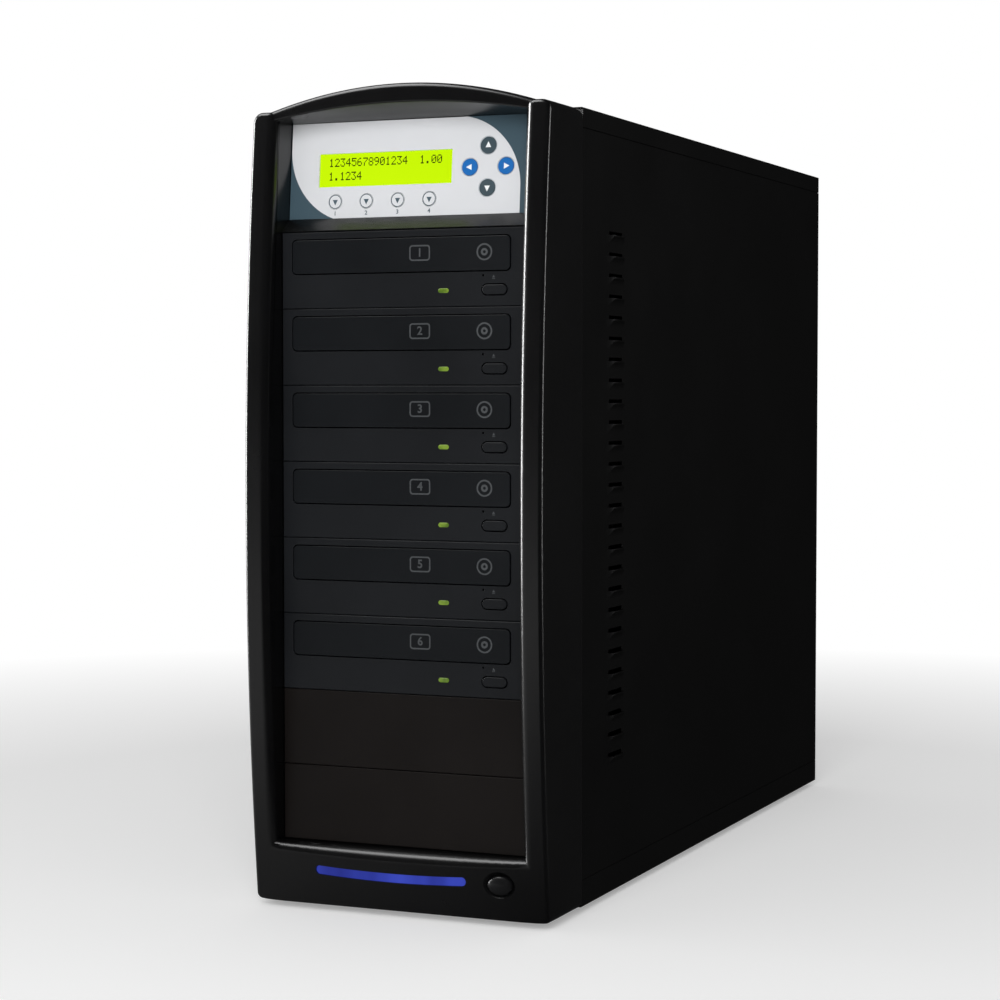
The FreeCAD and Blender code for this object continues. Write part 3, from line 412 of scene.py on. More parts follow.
class Graph:
    """A shader tree with short ways to add and join its nodes."""

    def __init__(self, tree: bpy.types.NodeTree) -> None:
        """Keeps the tree for later."""
        self.tree = tree

    def add(self, kind: str, settings: dict[str, object] | None = None, **values: object) -> Node:
        """Adds a node.

        Args:
            kind: The node's type name.
            settings: Attributes of the node itself.
            values: Values or source sockets for its inputs, by name with spaces as underscores, or by
                number after an underscore.

        Returns:
            The node.
        """
        node = self.tree.nodes.new(kind)
        for key, value in (settings or {}).items():
            setattr(node, key, value)
        for key, value in values.items():
            name = int(key[1:]) if key[1:].isdigit() else key.replace("_", " ")
            self.feed(node.inputs[name], value)
        return node

    def feed(self, socket: Socket, value: object) -> None:
        """Joins a socket to a source, or sets its value.

        Args:
            socket: The socket to feed.
            value: A source socket, a number, a vector, or a colour without its alpha.
        """
        if isinstance(value, bpy.types.NodeSocket):
            self.tree.links.new(value, socket)
        elif isinstance(value, tuple) and len(value) == 3 and socket.type == "RGBA":
            socket.default_value = (*value, 1.0)
        else:
            socket.default_value = value

    def place(self) -> Socket:
        """A point's place on the object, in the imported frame."""
        return self.add("ShaderNodeTexCoord").outputs["Object"]

    def maths(self, operation: str, a: object, b: object = 0.0, c: object = 0.0) -> Socket:
        """Adds a Math node and returns its result."""
        return self.add("ShaderNodeMath", {"operation": operation}, _0=a, _1=b, _2=c).outputs[0]

    def vector(self, operation: str, a: object, b: object, result: str) -> Socket:
        """Adds a Vector Math node and returns the result of this name."""
        return self.add("ShaderNodeVectorMath", {"operation": operation}, _0=a, _1=b).outputs[result]

    def span(self, value: object, low: float, high: float, to_low: float, to_high: float) -> Socket:
        """Maps a value from one span to another, held at both ends."""
        return self.add("ShaderNodeMapRange", {"clamp": True}, Value=value, From_Min=low, From_Max=high,
                        To_Min=to_low, To_Max=to_high).outputs["Result"]

    def patches(self, noise: Socket, low: float = 0.0) -> Socket:
        """Spreads a noise into soft patches between a low value and 1."""
        return self.span(noise, 0.35, 0.65, low, 1.0)

    def around(self, noise: Socket, middle: float, swing: float) -> Socket:
        """Lets a value swing with a noise by a share of itself."""
        return self.span(noise, 0.3, 0.7, middle * (1 - swing), middle * (1 + swing))

    def noise(self, scale: object, detail: float, rough: float, vector: object) -> Socket:
        """Adds a Noise Texture and returns its factor."""
        return self.add("ShaderNodeTexNoise", None, Vector=vector, Scale=scale, Detail=detail,
                        Roughness=rough).outputs["Fac"]

    def mix(self, share: object, a: object, b: object) -> Socket:
        """Mixes two colours.

        Args:
            share: How much of the second one shows.
            a: The first colour.
            b: The second colour.

        Returns:
            The mixed colour.
        """
        node = self.add("ShaderNodeMix", {"data_type": "RGBA"})
        self.feed(node.inputs["Factor"], share)
        colours = [socket for socket in node.inputs if socket.type == "RGBA"]
        self.feed(colours[0], a)
        self.feed(colours[1], b)
        return next(socket for socket in node.outputs if socket.type == "RGBA")

    def bump(self, shader: Node, strength: float, distance: float, height: Socket) -> None:
        """Leads a height to a shader's normal."""
        node = self.add("ShaderNodeBump", None, Strength=strength, Distance=distance, Height=height)
        self.feed(shader.inputs["Normal"], node.outputs["Normal"])


def shared_group(name: str, inputs: dict[str, float], outputs: Iterable[str],
                 fill: Callable[[Graph, Node, Node], None]) -> bpy.types.NodeTree:
    """Builds a shader group once.

    Args:
        name: The group's name.
        inputs: Its number inputs with their first values; it also gets a vector input named Place.
        outputs: Its number outputs.
        fill: Draws the inside from the graph, its input node and its output node.

    Returns:
        The group.
    """
    tree = bpy.data.node_groups.get(name)
    if tree:
        return tree
    tree = bpy.data.node_groups.new(name, "ShaderNodeTree")
    tree.interface.new_socket("Place", in_out="INPUT", socket_type="NodeSocketVector")
    for key, value in inputs.items():
        tree.interface.new_socket(key, in_out="INPUT", socket_type="NodeSocketFloat").default_value = value
    for key in outputs:
        tree.interface.new_socket(key, in_out="OUTPUT", socket_type="NodeSocketFloat")
    graph = Graph(tree)
    fill(graph, graph.add("NodeGroupInput"), graph.add("NodeGroupOutput"))
    return tree


def fill_texture(graph: Graph, source: Node, target: Node) -> None:
    """Draws a moulded surface's fine texture: a height and a slow shade.

    Args:
        graph: The group's graph.
        source: The group's input node.
        target: The group's output node.
    """
    cell_share = 0.6
    place, scale = source.outputs["Place"], source.outputs["Scale"]
    fine = graph.noise(scale, 3.0, 0.6, place)
    cells = graph.add("ShaderNodeTexVoronoi", {"feature": "SMOOTH_F1"}, Vector=place, Scale=scale)
    height = graph.maths("MULTIPLY_ADD", cells.outputs["Distance"], cell_share, fine)
    slow = graph.noise(source.outputs["Slow Scale"], 4.0, 0.55, place)
    graph.feed(target.inputs["Height"], graph.maths("MULTIPLY", height, source.outputs["Depth"]))
    graph.feed(target.inputs["Shade"], slow)


def texture_group() -> bpy.types.NodeTree:
    """The fine texture that plastics and paints share."""
    numbers = {"Scale": 2500.0, "Slow Scale": 14.0, "Depth": 1.0}
    return shared_group("fine_texture", numbers, ("Height", "Shade"), fill_texture)


def fill_wear(graph: Graph, source: Node, target: Node) -> None:
    """Draws a mask of a piece's edges, broken up a little, for a painted highlight that lightens their
    colour.

    Args:
        graph: The group's graph.
        source: The group's input node.
        target: The group's output node.
    """
    flat, sharp = 0.995, 0.9
    rounded = graph.add("ShaderNodeBevel", {"samples": 4}, Radius=source.outputs["Reach"]).outputs["Normal"]
    plain = graph.add("ShaderNodeNewGeometry").outputs["Normal"]
    edge = graph.span(graph.vector("DOT_PRODUCT", rounded, plain, "Value"), flat, sharp, 0.0, 1.0)
    broken = graph.noise(220.0, 3.0, 0.6, source.outputs["Place"])
    graph.feed(target.inputs["Edge"], graph.maths("MULTIPLY", edge, graph.patches(broken, 0.25)))


def wear_group() -> bpy.types.NodeTree:
    """The painted edge highlight, broken into patches, that many finishes share."""
    return shared_group("painted_edge_highlight", {"Reach": 0.0006}, ("Edge",), fill_wear)


def fill_dust(graph: Graph, source: Node, target: Node) -> None:
    """Draws a mask of the faces that look up, where dust settles in soft patches.

    Args:
        graph: The group's graph.
        source: The group's input node.
        target: The group's output node.
    """
    steep, level = 0.6, 1.0
    normal = graph.add("ShaderNodeNewGeometry").outputs["Normal"]
    up = graph.add("ShaderNodeSeparateXYZ", None, Vector=normal).outputs["Z"]
    upward = graph.span(up, steep, level, 0.0, 1.0)
    patches = graph.span(graph.noise(30.0, 5.0, 0.6, source.outputs["Place"]), 0.4, 0.7, 0.2, 1.0)
    graph.feed(target.inputs["Dust"], graph.maths("MULTIPLY", upward, patches))


def dust_group() -> bpy.types.NodeTree:
    """The settled dust that upward faces share."""
    return shared_group("settled_dust", {}, ("Dust",), fill_dust)


# Finishes


def new_material(name: str) -> tuple[bpy.types.Material, Graph, Node]:
    """Starts a material.

    Args:
        name: The material's name.

    Returns:
        The material, its graph and its main shader.
    """
    material = bpy.data.materials.new(name)
    material.use_nodes = True
    graph = Graph(material.node_tree)
    return material, graph, material.node_tree.nodes["Principled BSDF"]


def scaled(colour: Colour, share: float) -> Colour:
    """A colour made lighter or darker by a factor, held at white."""
    return tuple(min(1.0, part * share) for part in colour)


@dataclass(frozen=True)
class Moulding:
    """A moulded, painted or printed surface: a colour with fine texture, slow shades and edges lightened by a
    painted highlight.
    """

    name: str
    colour: Colour
    roughness: float = 0.45
    specular: float = 0.5
    scale: float = 2500.0
    depth: float = TEXTURE_DEPTH
    strength: float = 0.25
    shade: float = 0.12
    # Strength, gain and lift of the painted highlight along the edges.
    wear: float = 0.0
    wear_gain: float = 1.7
    wear_lift: float = 0.004
    dust: float = 0.0
    dust_colour: Colour = (0.12, 0.115, 0.105)
    dust_rough: float = 0.3
    metal: float = 0.0
    bump_reach: float = 0.00005

    def make(self) -> bpy.types.Material:
        """Builds the finish's material.

        Returns:
            The material.
        """
        material, graph, shader = new_material(self.name)
        place = graph.place()
        texture = graph.add("ShaderNodeGroup", {"node_tree": texture_group()}, Place=place,
                            Scale=self.scale, Depth=self.depth / TEXTURE_DEPTH)
        tone = texture.outputs["Shade"]
        colour = graph.mix(graph.patches(tone), scaled(self.colour, 1 - self.shade),
                           scaled(self.colour, 1 + self.shade))
        rough = graph.around(tone, self.roughness, 0.06)
        # Painted highlight: the colour is lightened along the edges, broken up in patches.
        if self.wear:
            edge = graph.add("ShaderNodeGroup", {"node_tree": wear_group()}, Place=place).outputs["Edge"]
            highlit = tuple(part * self.wear_gain + self.wear_lift for part in self.colour)
            colour = graph.mix(graph.maths("MULTIPLY", edge, self.wear), colour, highlit)
        if self.dust:
            dust = graph.add("ShaderNodeGroup", {"node_tree": dust_group()}, Place=place).outputs["Dust"]
            share = graph.maths("MULTIPLY", dust, self.dust)
            colour = graph.mix(share, colour, self.dust_colour)
            rough = graph.maths("ADD", rough, graph.maths("MULTIPLY", share, self.dust_rough))
        graph.feed(shader.inputs["Base Color"], colour)
        graph.feed(shader.inputs["Roughness"], rough)
        shader.inputs["Specular IOR Level"].default_value = self.specular
        shader.inputs["Metallic"].default_value = self.metal
        graph.bump(shader, self.strength, self.bump_reach, texture.outputs["Height"])
        return material


@dataclass(frozen=True)
class Spangle:
    """Galvanised sheet steel with its crystal pattern."""

    name: str
    colour: Colour = (0.52, 0.54, 0.56)
    deep: float = 0.82
    light: float = 1.12
    roughness: float = 0.38
    crystal_rough: float = 0.12
    streak_rough: float = 0.1
    scale: float = 130.0
    stretch: Point = (1.0, 24.0, 24.0)

    def make(self) -> bpy.types.Material:
        """Builds the finish's material.

        Returns:
            The material.
        """
        material, graph, shader = new_material(self.name)
        place = graph.place()
        cells = graph.add("ShaderNodeTexVoronoi", {"feature": "F1"}, Vector=place, Scale=self.scale)
        tone = graph.add("ShaderNodeSeparateColor", None, Color=cells.outputs["Color"]).outputs["Red"]
        scratches = graph.add("ShaderNodeMapping", None, Vector=place, Scale=self.stretch)
        streaks = graph.noise(90.0, 4.0, 0.6, scratches.outputs["Vector"])
        graph.feed(shader.inputs["Base Color"],
                   graph.mix(tone, scaled(self.colour, self.deep), scaled(self.colour, self.light)))
        rough = graph.maths("MULTIPLY_ADD", tone, self.crystal_rough, self.roughness - self.crystal_rough / 2)
        graph.feed(shader.inputs["Roughness"], graph.maths("MULTIPLY_ADD", streaks, self.streak_rough, rough))
        shader.inputs["Metallic"].default_value = 1.0
        graph.bump(shader, 0.15, 0.00003, streaks)
        return material


@dataclass(frozen=True)
class LitLens:
    """A lens with a lamp behind it: its glow varies along its length."""

    name: str
    deep: Colour
    bright: Colour
    strength: float = 1.0
    scale: float = 40.0
    stretch: Point = (1.0, 1.0, 1.0)
    roughness: float = 0.25
    unlit: float = 0.15
    grain: float = 1800.0

    def make(self) -> bpy.types.Material:
        """Builds the finish's material.

        Returns:
            The material.
        """
        material, graph, shader = new_material(self.name)
        place = graph.place()
        along = graph.add("ShaderNodeMapping", None, Vector=place, Scale=self.stretch)
        patches = graph.noise(self.scale, 3.0, 0.5, along.outputs["Vector"])
        graph.feed(shader.inputs["Emission Color"], graph.mix(graph.patches(patches), self.deep, self.bright))
        shader.inputs["Emission Strength"].default_value = self.strength
        shader.inputs["Base Color"].default_value = (*scaled(self.deep, self.unlit), 1.0)
        graph.feed(shader.inputs["Roughness"], graph.around(patches, self.roughness, 0.1))
        graph.bump(shader, 0.1, 0.00003, graph.noise(self.grain, 2.0, 0.5, place))
        return material


@dataclass(frozen=True)
class Laminate:
    """A circuit board: solder mask over a grid of tracks."""

    name: str
    mask: Colour = (0.012, 0.12, 0.045)
    track: Colour = (0.03, 0.22, 0.09)
    scale: float = 260.0
    track_width: float = 0.012
    offset: float = 0.37
    roughness: Pair = (0.24, 0.36)

    def make(self) -> bpy.types.Material:
        """Builds the finish's material.

        Returns:
            The material.
        """
        material, graph, shader = new_material(self.name)
        lines = graph.add("ShaderNodeTexBrick", {"offset": self.offset}, Vector=graph.place(),
                          Scale=self.scale, Mortar_Size=self.track_width, Color1=self.mask,
                          Color2=self.mask, Mortar=self.track)
        graph.feed(shader.inputs["Base Color"], lines.outputs["Color"])
        graph.feed(shader.inputs["Roughness"], graph.span(lines.outputs["Fac"], 0.0, 1.0, *self.roughness))
        graph.bump(shader, 0.3, 0.00004, lines.outputs["Fac"])
        return material


@dataclass(frozen=True)
class PanelPrint:
    """The key panel's film: light grey, with a slate field in two opposite corners.

    Each field ends in an arc, given by its centre's place across and up from the panel's foot and its
    radius, in metres.
    """

    name: str = "printed_panel_film"
    ground: Colour = (0.66, 0.67, 0.69)
    field: Colour = (0.052, 0.088, 0.112)
    foot: Point = (0.0, -0.24365, 0.3844)
    upper: Point = (0.0253, 0.0146, 0.0396)
    lower: Point = (-0.0325, 0.0388, 0.0413)
    texture_scale: float = 3200.0
    ground_shade: float = 0.985
    field_shade: float = 0.96
    roughness: Pair = (0.5, 0.56)
    specular: float = 0.25

    def make(self) -> bpy.types.Material:
        """Builds the finish's material.

        Returns:
            The material.
        """
        material, graph, shader = new_material(self.name)
        place = graph.place()
        turn = math.radians(TILT)
        from_foot = graph.vector("SUBTRACT", place, self.foot, "Vector")
        across = graph.add("ShaderNodeSeparateXYZ", None, Vector=from_foot).outputs["X"]
        up = graph.vector("DOT_PRODUCT", from_foot, (0.0, math.sin(turn), math.cos(turn)), "Value")
        masks = []
        for side, (centre_x, centre_up, radius) in ((1, self.upper), (-1, self.lower)):
            squares = []
            for value, centre in ((across, centre_x), (up, centre_up)):
                out = graph.maths("MULTIPLY", graph.maths("SUBTRACT", value, centre), side)
                out = graph.maths("MAXIMUM", out, 0.0)
                squares.append(graph.maths("MULTIPLY", out, out))
            reach = graph.maths("SQRT", graph.maths("ADD", *squares))
            masks.append(graph.maths("GREATER_THAN", reach, radius))
        texture = graph.add("ShaderNodeGroup", {"node_tree": texture_group()}, Place=place,
                            Scale=self.texture_scale)
        shades = graph.patches(texture.outputs["Shade"])
        ground = graph.mix(shades, scaled(self.ground, self.ground_shade), self.ground)
        dark = graph.mix(shades, scaled(self.field, self.field_shade), self.field)
        graph.feed(shader.inputs["Base Color"], graph.mix(graph.maths("MAXIMUM", *masks), ground, dark))
        graph.feed(shader.inputs["Roughness"], graph.span(shades, 0.0, 1.0, *self.roughness))
        shader.inputs["Specular IOR Level"].default_value = self.specular
        graph.bump(shader, 0.12, 0.00005, texture.outputs["Height"])
        return material


class Finish(Enum):
    """Every finish on the tower, by the record's slot or by the print's colour."""

    BEZEL = Moulding("satin_black_moulding", (0.0028, 0.0028, 0.003), roughness=0.26, scale=2600.0,
                     strength=0.22, wear=0.25)
    CASE = Moulding("black_powder_coat", (0.002, 0.002, 0.0021), roughness=0.42, specular=0.14, scale=1500.0,
                    depth=0.00005, strength=0.35, wear=0.3, dust=0.04)
    DRIVE = Moulding("blue_black_moulding", (0.0103, 0.0112, 0.0128), roughness=0.4, specular=0.18,
                     scale=3000.0, wear=0.3)
    DOOR = Moulding("door_moulding", (0.007, 0.008, 0.0094), roughness=0.4, specular=0.18, scale=3000.0,
                    strength=0.2, wear=0.3)
    BLANK = Moulding("brown_black_moulding", (0.0082, 0.0068, 0.0063), roughness=0.4, specular=0.16,
                     scale=2600.0, strength=0.3, wear=0.25)
    TRAY = Moulding("black_tray_moulding", (0.018, 0.018, 0.019), roughness=0.42, scale=2600.0, strength=0.2,
                    wear=0.2)
    DOME = Moulding("polished_black", (0.006, 0.006, 0.0065), roughness=0.28, scale=2600.0, strength=0.12,
                    wear=0.2)
    FILM = PanelPrint()
    CAP = Moulding("light_grey_cap", (0.68, 0.69, 0.71), scale=3200.0, strength=0.12, shade=0.015, wear=0.2)
    SLATE = Moulding("slate_print", (0.052, 0.088, 0.112), roughness=0.5, scale=3200.0, strength=0.12,
                     shade=0.03)
    SLATE_KEY = Moulding("slate_key", (0.05, 0.078, 0.095), roughness=0.42, scale=3200.0, strength=0.12,
                         shade=0.03, wear=0.3)
    BLUE_KEY = Moulding("blue_key", (0.004, 0.135, 0.45), roughness=0.42, scale=3200.0, strength=0.12,
                        shade=0.03, wear=0.3)
    RING = Moulding("pale_ring_print", (0.42, 0.46, 0.5), roughness=0.5, scale=3200.0, strength=0.1,
                    shade=0.02)
    WHITE = Moulding("white_print", (0.85, 0.86, 0.87), roughness=0.5, scale=3200.0, strength=0.1, shade=0.01)
    MARK = Moulding("faint_grey_print", (0.055, 0.06, 0.064), roughness=0.55, scale=3000.0, strength=0.15,
                    shade=0.04)
    DOT = Moulding("dark_display_dot", (0.006, 0.012, 0.001), roughness=0.5, specular=0.1, scale=3200.0,
                   strength=0.05, shade=0.02)
    DISPLAY = LitLens("lit_green_display", (0.50, 0.80, 0.0), (0.53, 0.84, 0.0), scale=12.0, roughness=0.2)
    LAMP = LitLens("lit_lamp", (0.11, 0.2, 0.02), (0.3, 0.46, 0.05), strength=0.6, scale=160.0)
    BAR = LitLens("lit_blue_bar", (0.006, 0.011, 0.16), (0.05, 0.08, 0.6), strength=0.85, scale=22.0,
                  stretch=(1.0, 0.02, 0.02), roughness=0.18)
    ZINC = Spangle("galvanised_steel")
    SCREW = Moulding("bright_zinc_screw", (0.62, 0.63, 0.64), roughness=0.25, scale=1200.0, strength=0.15,
                     metal=1.0)
    BOARD = Laminate("circuit_laminate")
    CHIP = Moulding("black_epoxy", (0.02, 0.02, 0.021), roughness=0.5, scale=2600.0)
    SWITCH = Moulding("black_nylon", (0.013, 0.013, 0.0135), scale=2600.0, wear=0.2)
    FAN = Moulding("fan_moulding", (0.012, 0.012, 0.013), roughness=0.4, scale=2400.0, wear=0.2)
    RUBBER = Moulding("foot_rubber", (0.012, 0.012, 0.0125), roughness=0.75, specular=0.35, scale=900.0,
                      depth=0.00008, strength=0.5)

    @property
    def material(self) -> bpy.types.Material:
        """The finish's material, built the first time that it is asked for."""
        return bpy.data.materials.get(self.value.name) or self.value.make()


def dress(piece: Piece, finish: Finish) -> Piece:
    """Gives a piece one finish.

    Args:
        piece: The piece.
        finish: Its finish.

    Returns:
        The same piece.
    """
    piece.data.materials.clear()
    piece.data.materials.append(finish.material)
    return piece


# Studio


class Shows(Enum):
    """What a light acts on: the matt part of a surface or its gloss."""

    MATT = "matt"
    GLOSS = "gloss"


@dataclass(frozen=True)
class Softbox:
    """An area light around the object: degrees to the left of the front and up, metres, and radiance."""

    name: str
    azimuth: float
    elevation: float
    distance: float
    width: float
    height: float
    radiance: float
    shows: Shows

    def build(self, aim: Point) -> None:
        """Adds the light.

        Args:
            aim: The point that it faces.
        """
        turn, rise = math.radians(self.azimuth), math.radians(self.elevation)
        out = math.cos(rise) * self.distance
        away = Vector((-math.sin(turn) * out, -math.cos(turn) * out, math.sin(rise) * self.distance))
        data = bpy.data.lights.new(self.name, "AREA")
        data.shape = "RECTANGLE"
        data.size, data.size_y = self.width, self.height
        data.energy = self.radiance * math.pi * self.width * self.height
        lamp = bpy.data.objects.new(self.name, data)
        lamp.visible_camera = False
        lamp.visible_glossy = self.shows is Shows.GLOSS
        lamp.visible_diffuse = self.shows is Shows.MATT
        lamp.location = Vector(aim) + away
        lamp.rotation_mode = "QUATERNION"
        lamp.rotation_quaternion = (-away).to_track_quat("-Z", "Y")
        bpy.context.scene.collection.objects.link(lamp)


@dataclass
class Studio:
    """Camera, floor, lights and surround."""

    camera_place: Point = (0.565, -1.45365, 0.289)
    camera_azimuth: float = 22.91
    camera_pitch: float = -2.57
    lens: float = 87.48
    sensor: float = 36.0
    clip: Pair = (0.01, 60.0)
    floor_radius: float = 6.0
    floor_tone: float = 0.82
    floor_rough: float = 0.9
    floor_specular: float = 0.1
    clear_span: Pair = (0.5, 1.2)
    shade_span: Pair = (-0.3, 0.1)
    shade_low: float = 0.2
    surround: float = 0.35
    sheen: float = 0.02
    lift: float = 0.3
    aim: Point = (0.0, -0.2, 0.25)
    softboxes: tuple[Softbox, ...] = (
        Softbox("front_fill", -14.0, 22.0, 2.4, 1.5, 1.5, 6.2, Shows.MATT),
        Softbox("side_strip", 84.0, 6.0, 2.0, 0.4, 1.9, 44.0, Shows.GLOSS),
        Softbox("top_left", 62.0, 60.0, 1.5, 1.0, 0.8, 7.0, Shows.GLOSS),
        Softbox("back_right", -112.0, 8.0, 2.4, 0.3, 1.9, 14.0, Shows.GLOSS))

    def build(self) -> None:
        """Sets up the whole studio."""
        self.camera()
        self.floor()
        self.world()
        for softbox in self.softboxes:
            softbox.build(self.aim)
        bpy.context.scene.view_settings.view_transform = "Standard"
        log.info("studio ready")

    def camera(self) -> None:
        """Adds the camera at the photograph's place."""
        data = bpy.data.cameras.new("camera")
        data.lens = self.lens
        data.sensor_width = self.sensor
        data.clip_start, data.clip_end = self.clip
        camera = bpy.data.objects.new("camera", data)
        camera.location = self.camera_place
        camera.rotation_euler = (math.radians(90 + self.camera_pitch), 0, math.radians(self.camera_azimuth))
        bpy.context.scene.collection.objects.link(camera)
        bpy.context.scene.camera = camera

    def floor(self) -> None:
        """Adds a round pale floor that turns white away from the object and dim in the object's gloss."""
        white = (1.0, 1.0, 1.0)
        bpy.ops.mesh.primitive_circle_add(vertices=96, radius=self.floor_radius, fill_type="NGON")
        floor = bpy.context.object
        floor.name = "floor"
        material, graph, shader = new_material("pale_floor")
        shader.inputs["Base Color"].default_value = (*[self.floor_tone] * 3, 1)
        shader.inputs["Roughness"].default_value = self.floor_rough
        shader.inputs["Specular IOR Level"].default_value = self.floor_specular
        place = graph.place()
        far = graph.add("ShaderNodeVectorMath", {"operation": "LENGTH"}, _0=place).outputs["Value"]
        rays = graph.add("ShaderNodeLightPath")
        seen, glossy = rays.outputs["Is Camera Ray"], rays.outputs["Is Glossy Ray"]
        clear = graph.maths("MAXIMUM", seen, rays.outputs["Is Transmission Ray"])
        away = graph.maths("MULTIPLY", clear, graph.span(far, *self.clear_span, 0.0, 1.0))
        across = graph.add("ShaderNodeSeparateXYZ", None, Vector=place).outputs["X"]
        shaded = graph.maths("MULTIPLY", glossy, graph.span(across, *self.shade_span, self.shade_low, 1.0))
        bright, lift, dim = [
            graph.add("ShaderNodeEmission", None, Color=white, Strength=strength).outputs[0]
            for strength in (1.0, graph.maths("MULTIPLY", seen, self.lift), self.sheen)]
        near = graph.add("ShaderNodeAddShader", None, _0=shader.outputs[0], _1=lift)
        lit = graph.add("ShaderNodeMixShader", None, Fac=away, _1=near.outputs[0], _2=bright)
        whole = graph.add("ShaderNodeMixShader", None, Fac=shaded, _1=lit.outputs[0], _2=dim)
        graph.feed(material.node_tree.nodes["Material Output"].inputs["Surface"], whole.outputs[0])
        floor.data.materials.append(material)

    def world(self) -> None:
        """Makes the surround: white to the camera, dim to the object."""
        world = bpy.data.worlds.new("surround")
        world.use_nodes = True
        bpy.context.scene.world = world
        graph = Graph(world.node_tree)
        surround = world.node_tree.nodes["Background"]
        surround.inputs["Color"].default_value = (1, 1, 1, 1)
        rays = graph.add("ShaderNodeLightPath")
        clear = graph.maths("MAXIMUM", rays.outputs["Is Camera Ray"], rays.outputs["Is Transmission Ray"])
        soft = graph.maths("MULTIPLY_ADD", rays.outputs["Is Glossy Ray"], self.sheen - self.surround,
                           self.surround)
        graph.feed(surround.inputs["Strength"], graph.maths("MAXIMUM", clear, soft))


# Bezel


